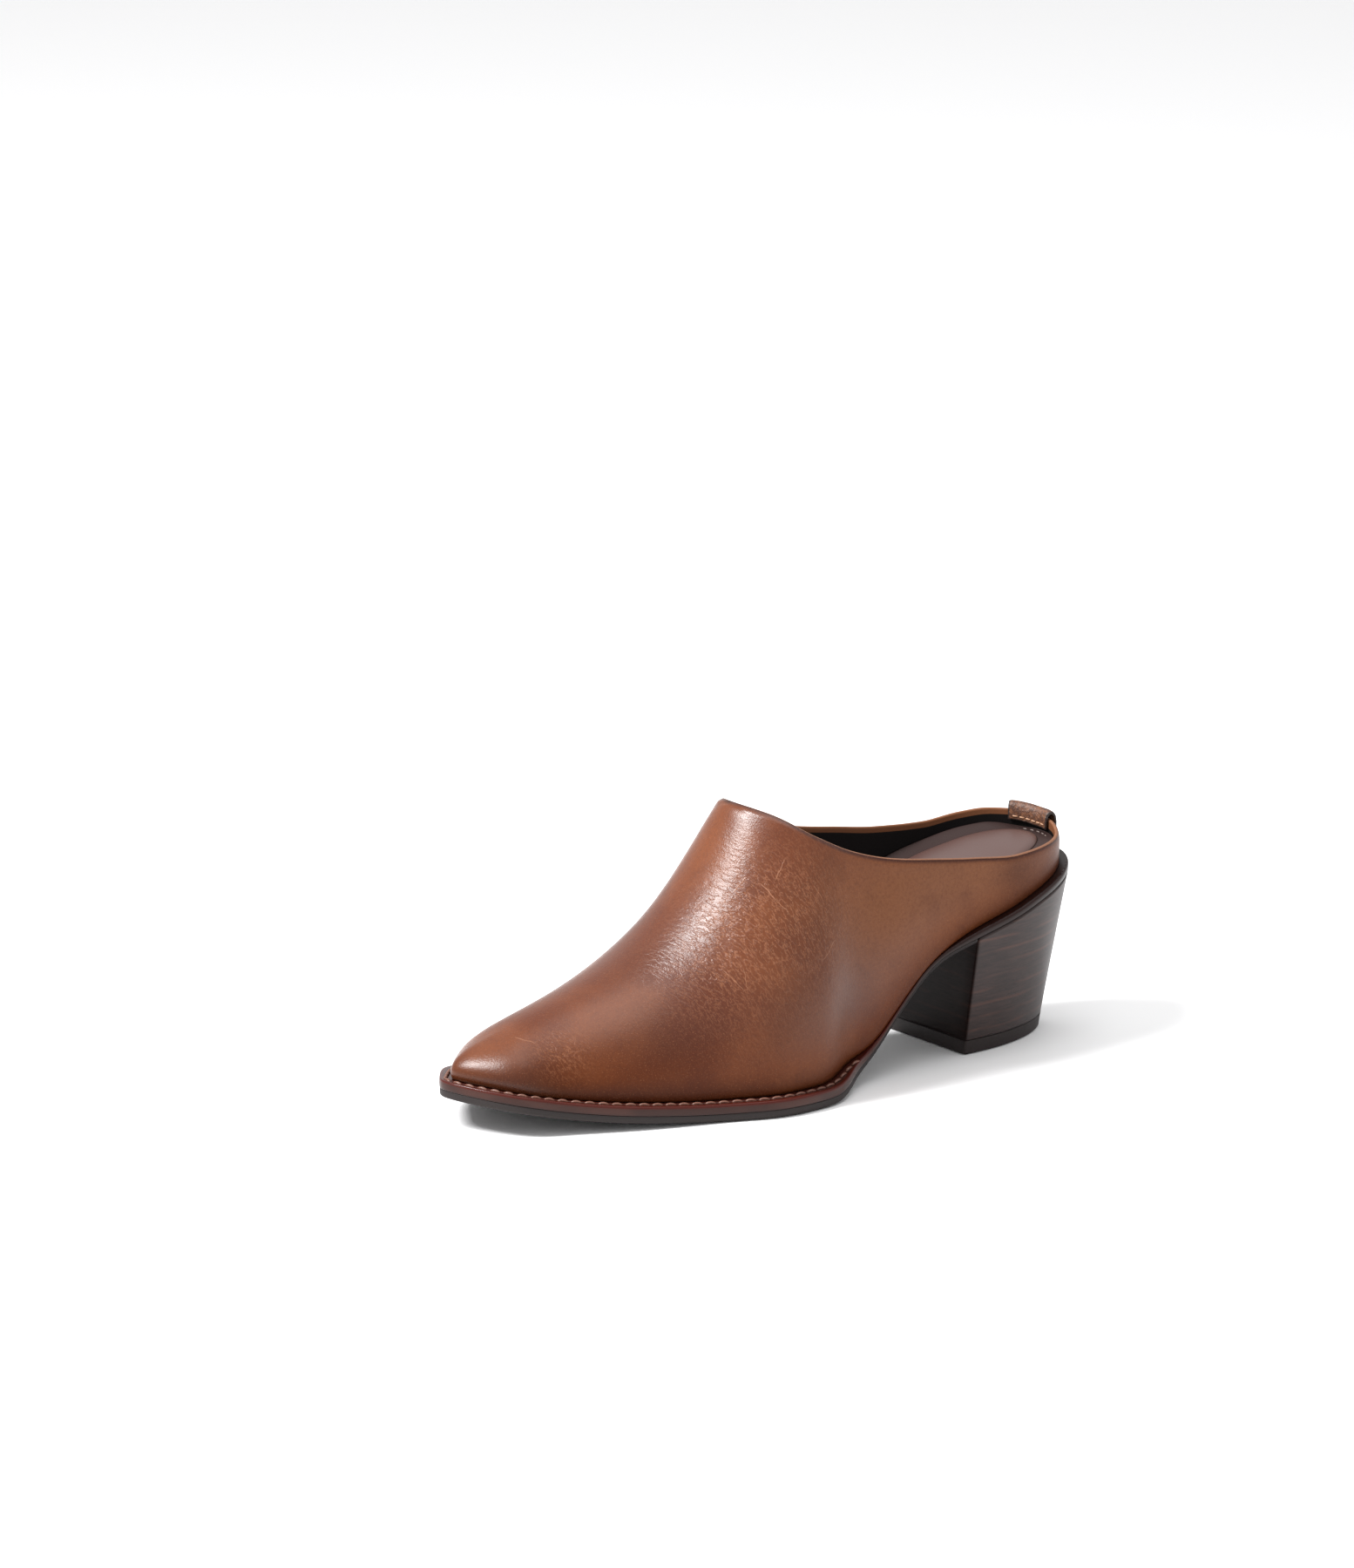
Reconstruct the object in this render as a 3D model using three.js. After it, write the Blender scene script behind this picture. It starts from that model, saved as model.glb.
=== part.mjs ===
// A left mule shoe with a stacked block heel, at real size in millimetres.
// +X runs to the toe, +Y to the shoe's outer (lateral) side, +Z up. The floor is z = 0.
// While the shoe is built x = 0 is the back of the upper; the group is centred at the end.
// Every curved surface comes from three short tables along the last and a few named sizes.

import * as THREE from 'three';
import { mergeVertices } from 'three/addons/utils/BufferGeometryUtils.js';

// Last: the form that the upper is pulled over
const LAST_LENGTH = 240;      // back of the upper to its toe, along the feather edge
const BALL_WIDTH = 79;        // widest place of the feather edge
const TOE_SWING = 10.5;       // how far the toe turns to the inner side
const HEEL_HEIGHT = 58.7;     // floor to the top of the heel seat's ledge, at the back
const TOE_SPRING = 9.5;       // rise of the toe above the flat forefoot
const HEEL_ROUND = 38.5;      // length of the rounded end at the heel
const TOE_ROUND = 14.5;       // length of the rounded end at the toe
const THROAT = 0.552;         // where the vamp's top edge crosses the crest, share of the last
const THROAT_HEIGHT = 97.6;   // floor to that place
const BACK_HEIGHT = 10.5;     // height of the upper above the ledge, at the back

// Upper and its parts
const WALL = 1.8;             // leather and lining together
const GAP = 0.3;              // clearance between pieces that touch
const TAB_WIDTH = 17.5;       // strip over the back of the top edge
const TAB_OFFSET = 4.8;       // how far it sits to the inner side
const TAB_THICKNESS = 1.1;
const TAB_LIFT = 3.2;         // how far the fold stands above the top edge
const TAB_FOOT = 0.8;         // clear height under the strip's outer end
const TAB_INSIDE = 3.1;       // how far the strip reaches down inside
const INSOLE_THICKNESS = 2.4; // under the ball of the foot
const INSOLE_CUSHION = 9.3;   // how much its cushion adds where it is fullest
const PAD_LENGTH = 64;        // raised oval under the heel of the foot
const PAD_WIDTH = 37;
const PAD_HEIGHT = 1.8;
const PAD_EDGE = 3.2;         // width of its rounded edge
const PAD_FROM_BACK = 7;

// Sole and heel
const MIDSOLE_THICKNESS = 3.3;
const MIDSOLE_BACK = 2.5;     // its thickness over the heel
const MIDSOLE_WAIST = 1.6;    // and under the arch
const OUTSOLE_THICKNESS = 2.6;
const OUTSOLE_WAIST = 1.4;    // its thickness under the arch
const OUTSOLE_INSET = 0.4;    // how far the outsole's edge lies inside the midsole's
const HEEL_LEDGE = 3.2;       // sole edge past the upper round the heel
const TOE_LEDGE = 5.4;        // and round the forefoot
const SEAT_LENGTH = 52;       // back of the upper to the heel's front face
const HEEL_TIP_LENGTH = 47.4; // the heel's foot on the floor
const HEEL_TIP_WIDTH = 44;
const HEEL_TIP_ROUND = 2.2;   // how late its sides turn in to the back
const HEEL_TIP_FULL = 0.65;   // how full its back corners are, lower is fuller
const LIFT_THICKNESS = 4.6;   // rubber piece under the stacked heel

// Fineness of the facets
const BACK_COLUMNS = 38;      // heel to throat, on each side
const FRONT_COLUMNS = 26;     // throat to toe, on each side
const WALL_ROWS = 12;
const PAD_COLUMNS = 24;
const TAB_COLUMNS = 12;

// Where things change along the last, shares of LAST_LENGTH
const SWING_FROM = 0.3;       // the centre line starts to turn to the inner side
const LEDGE_CHANGE = 0.32;    // the heel's ledge ends and the forefoot's starts
const ARCH_FROM = 0.2;        // the midsole starts to thin from the heel to the arch
const ARCH_TO = 0.28;         // and is at its arch thickness from here
const WAIST_FROM = 0.36;      // the sole is at its waist thickness up to here
const WAIST_TO = 0.48;        // and at its forefoot thickness from here
const SPREAD_FROM = 0.4;      // the insole's top spreads to the leaning wall up to here
const SPREAD_TO = 0.5;        // and no more from here
const HEEL_FAN = 0.11;        // columns behind this turn about it
const TOE_FAN = 0.86;         // and those past this one turn about it
const FAN_SOFTNESS = 0.05;

// Plan and side of the last. along: share of LAST_LENGTH. lateral, medial: half widths to each
// side of the centre line, shares of BALL_WIDTH, before the ends are rounded.
// rise: share of the heel's rise. spring: share of TOE_SPRING. ledge: share of the named ledge.
const PLAN_ROWS = [
  { along: 0.00, lateral: 0.335, medial: 0.335, rise: 1.000, spring: 0.00, ledge: 1.00 },
  { along: 0.10, lateral: 0.335, medial: 0.340, rise: 0.890, spring: 0.00, ledge: 1.00 },
  { along: 0.16, lateral: 0.337, medial: 0.333, rise: 0.803, spring: 0.00, ledge: 1.00 },
  { along: 0.22, lateral: 0.342, medial: 0.318, rise: 0.728, spring: 0.00, ledge: 0.80 },
  { along: 0.29, lateral: 0.348, medial: 0.300, rise: 0.582, spring: 0.00, ledge: 0.07 },
  { along: 0.35, lateral: 0.367, medial: 0.288, rise: 0.350, spring: 0.00, ledge: 0.05 },
  { along: 0.41, lateral: 0.386, medial: 0.300, rise: 0.105, spring: 0.00, ledge: 0.21 },
  { along: 0.46, lateral: 0.427, medial: 0.340, rise: 0.053, spring: 0.00, ledge: 0.72 },
  { along: 0.51, lateral: 0.526, medial: 0.390, rise: 0.000, spring: 0.00, ledge: 0.98 },
  { along: 0.60, lateral: 0.566, medial: 0.440, rise: 0.000, spring: 0.00, ledge: 1.00 },
  { along: 0.68, lateral: 0.497, medial: 0.452, rise: 0.000, spring: 0.00, ledge: 1.00 },
  { along: 0.80, lateral: 0.408, medial: 0.378, rise: 0.000, spring: 0.19, ledge: 1.00 },
  { along: 0.90, lateral: 0.303, medial: 0.312, rise: 0.000, spring: 0.51, ledge: 1.00 },
  { along: 0.96, lateral: 0.248, medial: 0.176, rise: 0.000, spring: 0.84, ledge: 0.95 },
  { along: 1.00, lateral: 0.134, medial: 0.070, rise: 0.000, spring: 1.00, ledge: 0.75 },
];

// Cross-sections of the last. way: 0 is the back, 1 the throat, 2 the toe. crest: height of the
// centre line above the feather edge, share of that height at the throat. bulge: how far the wall
// swings out, share of BALL_WIDTH. upright: height over which it does so, share of the crest.
// shoulder: fullness near the crest.
const SECTION_ROWS = [
  { way: 0.00, crest: 0.760, bulge: 0.012, upright: 0.50, shoulder: 0.98 },
  { way: 0.27, crest: 0.915, bulge: 0.055, upright: 0.48, shoulder: 1.00 },
  { way: 0.54, crest: 1.140, bulge: 0.112, upright: 0.42, shoulder: 1.00 },
  { way: 0.76, crest: 1.300, bulge: 0.100, upright: 0.42, shoulder: 0.80 },
  { way: 1.00, crest: 1.000, bulge: 0.050, upright: 0.45, shoulder: 0.45 },
  { way: 1.13, crest: 0.723, bulge: 0.047, upright: 0.45, shoulder: 0.55 },
  { way: 1.31, crest: 0.508, bulge: 0.042, upright: 0.45, shoulder: 0.64 },
  { way: 1.55, crest: 0.356, bulge: 0.038, upright: 0.45, shoulder: 0.54 },
  { way: 1.78, crest: 0.228, bulge: 0.016, upright: 0.45, shoulder: 0.54 },
  { way: 2.00, crest: 0.078, bulge: 0.036, upright: 0.45, shoulder: 0.60 },
];

// Top edge from each side of the shoe: 0 is BACK_HEIGHT over the ledge, 1 the throat.
const TOPLINE_ROWS = [
  { way: 0.00, outer: 0.025, inner: 0.025 },
  { way: 0.01, outer: -0.008, inner: 0.045 },
  { way: 0.035, outer: -0.050, inner: 0.064 },
  { way: 0.08, outer: -0.060, inner: 0.066 },
  { way: 0.15, outer: -0.063, inner: 0.020 },
  { way: 0.25, outer: -0.066, inner: -0.055 },
  { way: 0.40, outer: 0.022, inner: -0.003 },
  { way: 0.54, outer: 0.129, inner: 0.110 },
  { way: 0.69, outer: 0.257, inner: 0.250 },
  { way: 0.80, outer: 0.424, inner: 0.410 },
  { way: 0.89, outer: 0.657, inner: 0.650 },
  { way: 0.96, outer: 0.905, inner: 0.905 },
  { way: 1.00, outer: 1.000, inner: 1.000 },
];

// Footbed. fill: share of INSOLE_CUSHION, fullest under the arch.
const BED_ROWS = [
  { along: 0.00, fill: 0.43 },
  { along: 0.04, fill: 0.64 },
  { along: 0.08, fill: 0.72 },
  { along: 0.12, fill: 0.78 },
  { along: 0.19, fill: 0.95 },
  { along: 0.25, fill: 0.98 },
  { along: 0.32, fill: 0.78 },
  { along: 0.40, fill: 0.38 },
  { along: 0.50, fill: 0.00 },
  { along: 1.00, fill: 0.00 },
];

// Rows placed by way, given their share of LAST_LENGTH
function byThroat(rows) {
  return rows.map((row) => {
    const along = row.way < 1 ? row.way * THROAT : THROAT + (row.way - 1) * (1 - THROAT);
    return { ...row, along };
  });
}

// A smooth curve through one column of a table, with no overshoot between rows
function curveOf(rows, column) {
  const xs = rows.map((row) => row.along);
  const ys = rows.map((row) => row[column]);
  const steps = xs.slice(1).map((x, i) => (ys[i + 1] - ys[i]) / (x - xs[i]));
  const slopes = ys.map((_, i) => {
    if (i === 0) return steps[0];
    if (i === ys.length - 1) return steps[i - 1];
    const before = steps[i - 1];
    const after = steps[i];
    return before * after <= 0 ? 0 : (2 * before * after) / (before + after);
  });
  return (x) => {
    const last = xs.length - 1;
    if (x <= xs[0]) return ys[0] + slopes[0] * (x - xs[0]);
    if (x >= xs[last]) return ys[last] + slopes[last] * (x - xs[last]);
    const i = xs.findIndex((edge) => edge > x) - 1;
    const h = xs[i + 1] - xs[i];
    const t = (x - xs[i]) / h;
    const a = (1 + 2 * t) * (1 - t) * (1 - t);
    const b = t * (1 - t) * (1 - t) * h;
    const c = t * t * (3 - 2 * t);
    const d = t * t * (t - 1) * h;
    return a * ys[i] + b * slopes[i] + c * ys[i + 1] + d * slopes[i + 1];
  };
}

// The same curve with its bends eased: a weighted mean of nearby values
function easedCurve(rows, column, reach) {
  const curve = curveOf(rows, column);
  const weights = [1, 2, 3, 2, 1];
  return (x) => weights.reduce((sum, w, i) => sum + w * curve(x + ((i - 2) * reach) / 2), 0) / 9;
}

const PLAN_EASE = 0.03;
const SECTION_EASE = 0.05;
const sections = byThroat(SECTION_ROWS);
const lateralHalf = easedCurve(PLAN_ROWS, 'lateral', PLAN_EASE);
const medialHalf = easedCurve(PLAN_ROWS, 'medial', PLAN_EASE);
const heelRise = easedCurve(PLAN_ROWS, 'rise', PLAN_EASE);
const toeSpring = easedCurve(PLAN_ROWS, 'spring', PLAN_EASE);
const ledgeShare = easedCurve(PLAN_ROWS, 'ledge', PLAN_EASE);
const crestShare = easedCurve(sections, 'crest', SECTION_EASE);
const bulgeShare = easedCurve(sections, 'bulge', SECTION_EASE);
const uprightShare = easedCurve(sections, 'upright', SECTION_EASE);
const shoulderShare = easedCurve(sections, 'shoulder', SECTION_EASE);
const outerClimb = curveOf(byThroat(TOPLINE_ROWS), 'outer');
const innerClimb = curveOf(byThroat(TOPLINE_ROWS), 'inner');

const bedFill = curveOf(BED_ROWS, 'fill');

const SOLE_THICKNESS = MIDSOLE_THICKNESS + OUTSOLE_THICKNESS;

// Height of the sole's top face above the floor, at x
function soleTop(x) {
  const along = x / LAST_LENGTH;
  const risen = heelRise(along) * (HEEL_HEIGHT - SOLE_THICKNESS);
  return SOLE_THICKNESS + risen + toeSpring(along) * TOE_SPRING;
}

// Centre line in plan: straight at the heel, then turning to the inner side
function centreLine(along) {
  const turn = THREE.MathUtils.clamp((along - SWING_FROM) / (1 - SWING_FROM), 0, 1);
  return -TOE_SWING * Math.pow(turn, 1.5);
}

// Column places along the last: dense at the heel, at the throat and at the toe
function columnShare(v) {
  const back = BACK_COLUMNS / (BACK_COLUMNS + FRONT_COLUMNS);
  if (v <= back) return THROAT * (0.5 - 0.5 * Math.cos((Math.PI * v) / back));
  return THROAT + (1 - THROAT) * Math.sin((Math.PI / 2) * (v - back) / (1 - back));
}

// Point of the feather edge. v runs from 0 at the heel to 1 at the toe, side is 1 or -1.
function feather(v, side) {
  const along = columnShare(v);
  const x = along * LAST_LENGTH;
  const toHeel = Math.max(0, 1 - x / HEEL_ROUND);
  const toToe = Math.max(0, 1 - (LAST_LENGTH - x) / TOE_ROUND);
  const rounding = Math.sqrt(1 - toHeel * toHeel) * Math.sqrt(1 - toToe * toToe);
  const half = (side > 0 ? lateralHalf(along) : medialHalf(along)) * BALL_WIDTH * rounding;
  return new THREE.Vector2(x, centreLine(along) + side * half);
}

// Outward direction of the feather edge in plan
function featherNormal(v, side) {
  const step = 1e-3;
  if (v < step) return new THREE.Vector2(-1, 0);
  if (v > 1 - step) return new THREE.Vector2(1, 0);
  const along = feather(v + step, side).sub(feather(v - step, side));
  return new THREE.Vector2(-along.y * side, along.x * side).normalize();
}

// How far the sole stands past the feather edge
function ledge(v) {
  const along = columnShare(v);
  return ledgeShare(along) * (along < LEDGE_CHANGE ? HEEL_LEDGE : TOE_LEDGE);
}

// Feather edge moved outwards in plan, by a length or by a function of v
function outline(side, offset) {
  return COLUMNS.map((v) => {
    const out = typeof offset === 'function' ? offset(v) : offset;
    return feather(v, side).addScaledVector(featherNormal(v, side), out);
  });
}

const COLUMN_COUNT = BACK_COLUMNS + FRONT_COLUMNS;
const COLUMNS = Array.from({ length: COLUMN_COUNT + 1 }, (_, i) => i / COLUMN_COUNT);

// Centre-line place that a column leans to: it moves with the column, then settles at each end
function fanPlace(along) {
  if (along < HEEL_FAN) return HEEL_FAN;
  if (along <= TOE_FAN) return along;
  return TOE_FAN + FAN_SOFTNESS * Math.tanh((along - TOE_FAN) / FAN_SOFTNESS);
}

function crestHeight(along) {
  const throatRise = THROAT_HEIGHT - soleTop(THROAT * LAST_LENGTH);
  return soleTop(along * LAST_LENGTH) + crestShare(along) * throatRise;
}

function toplineHeight(along, side) {
  const back = HEEL_HEIGHT + BACK_HEIGHT;
  const climb = side > 0 ? outerClimb : innerClimb;
  return back + climb(Math.min(along, THROAT)) * (crestHeight(THROAT) - back);
}

// The last's half section at v, as a cubic curve from the feather edge (0) to the crest (1)
function sectionCurve(v, side) {
  const along = columnShare(v);
  const edge = feather(v, side);
  const out = featherNormal(v, side);
  const place = fanPlace(along);
  const centre = new THREE.Vector2(place * LAST_LENGTH, centreLine(place));
  const foot = soleTop(edge.x) + GAP;
  const top = crestHeight(place);
  const slope = (crestHeight(place + 0.01) - crestHeight(place - 0.01)) / (0.02 * LAST_LENGTH);
  const lean = edge.clone().sub(centre).multiplyScalar(shoulderShare(along));
  const forward = along > place ? lean.x : 0;
  const swing = edge.clone().addScaledVector(out, bulgeShare(along) * BALL_WIDTH);
  const height = top - foot;
  return new THREE.CubicBezierCurve3(
    new THREE.Vector3(edge.x, edge.y, foot),
    new THREE.Vector3(swing.x, swing.y, foot + uprightShare(along) * height),
    new THREE.Vector3(centre.x + lean.x, centre.y + lean.y, top + slope * forward),
    new THREE.Vector3(centre.x, centre.y, top),
  );
}

// Where the section curve reaches the top edge, by halving
function cutShare(curve, along, side) {
  if (along >= THROAT) return 1;
  const limit = toplineHeight(along, side);
  let low = 0;
  let high = 1;
  for (let i = 0; i < 30; i += 1) {
    const middle = (low + high) / 2;
    if (curve.getPoint(middle).z < limit) low = middle;
    else high = middle;
  }
  return low;
}

// One column of the outer face, from the feather edge to the top edge or the crest
function wallColumn(v, side) {
  const curve = sectionCurve(v, side);
  const cut = cutShare(curve, columnShare(v), side);
  return Array.from({ length: WALL_ROWS + 1 }, (_, j) => curve.getPoint((cut * j) / WALL_ROWS));
}

// Closed geometry from triangles: equal points become one, empty triangles are dropped
function solidFrom(triangles) {
  const loose = new THREE.BufferGeometry();
  const places = triangles.flat().flatMap((p) => p.toArray());
  loose.setAttribute('position', new THREE.Float32BufferAttribute(places, 3));
  const merged = mergeVertices(loose, 1e-4);
  const index = merged.getIndex().array;
  const kept = [];
  for (let i = 0; i < index.length; i += 3) {
    const [a, b, c] = [index[i], index[i + 1], index[i + 2]];
    if (a !== b && b !== c && c !== a) kept.push(a, b, c);
  }
  merged.setIndex(kept);
  merged.computeVertexNormals();
  return merged;
}

function quad(a, b, c, d) {
  return [[a, b, c], [a, c, d]];
}

// Walls between two rows of points that run the same way
function band(lower, upper) {
  return lower.slice(1).flatMap((_, i) => quad(lower[i], lower[i + 1], upper[i + 1], upper[i]));
}

// Solid through levels, from the bottom up; each level is two rows of points, one on each side,
// that run the same way
function loft(levels) {
  const ring = ({ one, other }) => [...one, ...[...other].reverse(), one[0]];
  const walls = levels.slice(1).flatMap((next, i) => band(ring(next), ring(levels[i])));
  const bottom = levels[0];
  const top = levels.at(-1);
  return solidFrom([...walls, ...band(bottom.one, bottom.other), ...band(top.other, top.one)]);
}

function level(lateral, medial, heightAt) {
  const raise = (p) => new THREE.Vector3(p.x, p.y, heightAt(p.x));
  return { one: lateral.map(raise), other: medial.map(raise) };
}

// Upper: the outer face, the same face moved in by the wall, and the rims that join them
function upper() {
  const ringColumns = [
    ...COLUMNS.map((v) => ({ v, side: 1 })),
    ...[...COLUMNS].reverse().slice(1).map((v) => ({ v, side: -1 })),
  ];
  const outer = ringColumns.map(({ v, side }) => wallColumn(v, side));
  const facets = ringColumns.slice(1).flatMap((_, i) => band(outer[i], outer[i + 1]));
  const inner = moveIn(outer, solidFrom(facets), ringColumns);
  const inside = ringColumns.slice(1).flatMap((_, i) => band(inner[i + 1], inner[i]));
  const row = (columns, j) => columns.map((column) => column[j]);
  const isClosed = ({ v }) => columnShare(v) > THROAT;
  const rim = ringColumns.slice(1).flatMap((_, i) => {
    if (isClosed(ringColumns[i]) || isClosed(ringColumns[i + 1])) return [];
    return band(row(inner.slice(i, i + 2), WALL_ROWS), row(outer.slice(i, i + 2), WALL_ROWS));
  });
  return solidFrom([...facets, ...inside, ...band(row(outer, 0), row(inner, 0)), ...rim]);
}

function pointKey(p) {
  return [p.x, p.y, p.z].map((value) => Math.round(Math.fround(value) * 1000)).join(',');
}

// Each point moves in by the wall, square to the face; the lowest row moves in level
function moveIn(outer, face, ringColumns) {
  const positions = face.getAttribute('position');
  const normals = face.getAttribute('normal');
  const normalAt = new Map();
  for (let i = 0; i < positions.count; i += 1) {
    const p = new THREE.Vector3().fromBufferAttribute(positions, i);
    normalAt.set(pointKey(p), new THREE.Vector3().fromBufferAttribute(normals, i));
  }
  return outer.map((column, i) => column.map((p, j) => {
    if (j > 0) return p.clone().addScaledVector(normalAt.get(pointKey(p)), -WALL);
    const { v, side } = ringColumns[i];
    const edge = feather(v, side).addScaledVector(featherNormal(v, side), -WALL);
    return new THREE.Vector3(edge.x, edge.y, soleTop(edge.x) + GAP);
  }));
}

// 1 under the heel and the arch, 0 under the ball and the toe
function backShare(x) {
  return 1 - THREE.MathUtils.smoothstep(x / LAST_LENGTH, WAIST_FROM, WAIST_TO);
}

function midsoleUnder(x) {
  const arch = THREE.MathUtils.smoothstep(x / LAST_LENGTH, ARCH_FROM, ARCH_TO);
  const back = THREE.MathUtils.lerp(MIDSOLE_BACK, MIDSOLE_WAIST, arch);
  return soleTop(x) - THREE.MathUtils.lerp(MIDSOLE_THICKNESS, back, backShare(x));
}

function midsole() {
  const lateral = outline(1, ledge);
  const medial = outline(-1, ledge);
  return loft([level(lateral, medial, midsoleUnder), level(lateral, medial, soleTop)]);
}

// Height of the outsole's under face: flat at the forefoot, closer to the midsole at the arch
function outsoleUnder(x) {
  return midsoleUnder(x) - THREE.MathUtils.lerp(OUTSOLE_THICKNESS, OUTSOLE_WAIST, backShare(x));
}

// Outline from the heel's front face, closed by one point on that face
function atBreast(points, x, first) {
  const ahead = points.filter((p) => (first ? p.x > x + GAP : p.x < x - GAP));
  const all = [...points].sort((a, b) => a.x - b.x);
  const i = all.findIndex((p) => p.x > x);
  const share = (x - all[i - 1].x) / (all[i].x - all[i - 1].x);
  const face = new THREE.Vector2(x, THREE.MathUtils.lerp(all[i - 1].y, all[i].y, share));
  return first ? [face, ...ahead] : [...ahead, face];
}

function outsole() {
  const start = SEAT_LENGTH + GAP;
  const edge = (v) => ledge(v) - OUTSOLE_INSET;
  const lateral = atBreast(outline(1, edge), start, true);
  const medial = atBreast(outline(-1, edge), start, true);
  return loft([
    level(lateral, medial, outsoleUnder),
    level(lateral, medial, (x) => midsoleUnder(x) - GAP),
  ]);
}

// Half width of the heel's foot, at a share of its length behind the front face
function tipHalf(share) {
  return (HEEL_TIP_WIDTH / 2) * Math.pow(1 - Math.pow(share, HEEL_TIP_ROUND), HEEL_TIP_FULL);
}

// Heel outline at a height: from the seat's outline (down 0) to that of its foot (down 1)
function heelLevel(down, heightAt) {
  const row = (side) => atBreast(outline(side, ledge), SEAT_LENGTH, false).map((p) => {
    const share = Math.min(1, (SEAT_LENGTH - p.x) / (SEAT_LENGTH + HEEL_LEDGE));
    const foot = new THREE.Vector2(SEAT_LENGTH - share * HEEL_TIP_LENGTH, side * tipHalf(share));
    const place = p.clone().lerp(foot, down);
    return new THREE.Vector3(place.x, place.y, heightAt(p.x));
  });
  return { one: row(1), other: row(-1) };
}

const LIFT_SHARE = LIFT_THICKNESS / HEEL_HEIGHT;

function heelBlock() {
  const foot = LIFT_THICKNESS + GAP;
  const levels = [1, 0.75, 0.5, 0.25, 0].map((down) => {
    const taper = down * (1 - LIFT_SHARE);
    return heelLevel(taper, (x) => THREE.MathUtils.lerp(midsoleUnder(x) - GAP, foot, down));
  });
  return loft(levels);
}

function topLift() {
  return loft([
    heelLevel(1, () => 0),
    heelLevel(1 - LIFT_SHARE, () => LIFT_THICKNESS),
  ]);
}

// Top of the insole, cushioned towards the heel and the arch
function insoleTop(x) {
  return soleTop(x) + GAP + INSOLE_THICKNESS + INSOLE_CUSHION * bedFill(x / LAST_LENGTH);
}

// How far past the feather edge the wall has swung out at the height of the insole's top
function wallSwing(v, side) {
  const curve = sectionCurve(v, side);
  const edge = feather(v, side);
  let low = 0;
  let high = 0.5;
  for (let i = 0; i < 30; i += 1) {
    const middle = (low + high) / 2;
    if (curve.getPoint(middle).z < insoleTop(edge.x)) low = middle;
    else high = middle;
  }
  const place = curve.getPoint(low);
  const swing = new THREE.Vector2(place.x, place.y).sub(edge).dot(featherNormal(v, side));
  const spread = 1 - THREE.MathUtils.smoothstep(columnShare(v), SPREAD_FROM, SPREAD_TO);
  return Math.max(0, swing) * spread;
}

function insole() {
  const under = [1, -1].map((side) => outline(side, -WALL - GAP));
  const over = [1, -1].map((side) => outline(side, (v) => {
    const swing = wallSwing(v, side);
    return swing - WALL - GAP - Math.min(GAP, swing);
  }));
  return loft([
    level(...under, (x) => soleTop(x) + GAP),
    level(...over, insoleTop),
  ]);
}

// Heel pad: an oval with a rounded edge, each level drawn in as it rises
function heelPad() {
  const base = (x) => insoleTop(x) + GAP;
  const middle = PAD_FROM_BACK + PAD_LENGTH / 2;
  const turns = Array.from({ length: PAD_COLUMNS + 1 }, (_, i) => (Math.PI * i) / PAD_COLUMNS);
  const levels = [0, 0.3, 0.6, 0.85, 1].map((up) => {
    const drawn = PAD_EDGE * (1 - Math.sqrt(1 - up * up));
    const oval = (side) => turns.map((turn) => new THREE.Vector2(
      middle - (PAD_LENGTH / 2 - drawn) * Math.cos(turn),
      side * (PAD_WIDTH / 2 - drawn) * Math.sin(turn),
    ));
    return level(oval(1), oval(-1), (x) => base(x) + up * PAD_HEIGHT);
  });
  return loft(levels);
}

// Outward direction of the wall at a share of its column, from nearby points
function wallNormal(v, side, share) {
  const step = 2e-3;
  const at = (u, t) => {
    const way = u < 0 ? -side : side;
    const curve = sectionCurve(Math.abs(u), way);
    return curve.getPoint(t * cutShare(curve, columnShare(Math.abs(u)), way));
  };
  const across = at(v + step, share).sub(at(v - step, share));
  const up = at(v, Math.min(1, share + step)).sub(at(v, share - step));
  return up.cross(across).multiplyScalar(side).normalize();
}

// Place round the heel whose feather edge lies at y, below 0 on the inner side
function placeAcross(y) {
  const side = y < 0 ? -1 : 1;
  let low = 0;
  let high = 0.3;
  for (let i = 0; i < 30; i += 1) {
    const middle = (low + high) / 2;
    if (Math.abs(feather(middle, side).y) < Math.abs(y)) low = middle;
    else high = middle;
  }
  return side * low;
}

// Back tab: one strip that runs up the outside, over the top edge and down inside
function backTab() {
  const first = placeAcross(TAB_WIDTH / 2 - TAB_OFFSET);
  const last = placeAcross(-TAB_WIDTH / 2 - TAB_OFFSET);
  const places = Array.from(
    { length: TAB_COLUMNS + 1 },
    (_, i) => THREE.MathUtils.lerp(first, last, i / TAB_COLUMNS),
  );
  return loft(places.map((place) => tabSection(Math.abs(place), place < 0 ? -1 : 1)));
}

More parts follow.
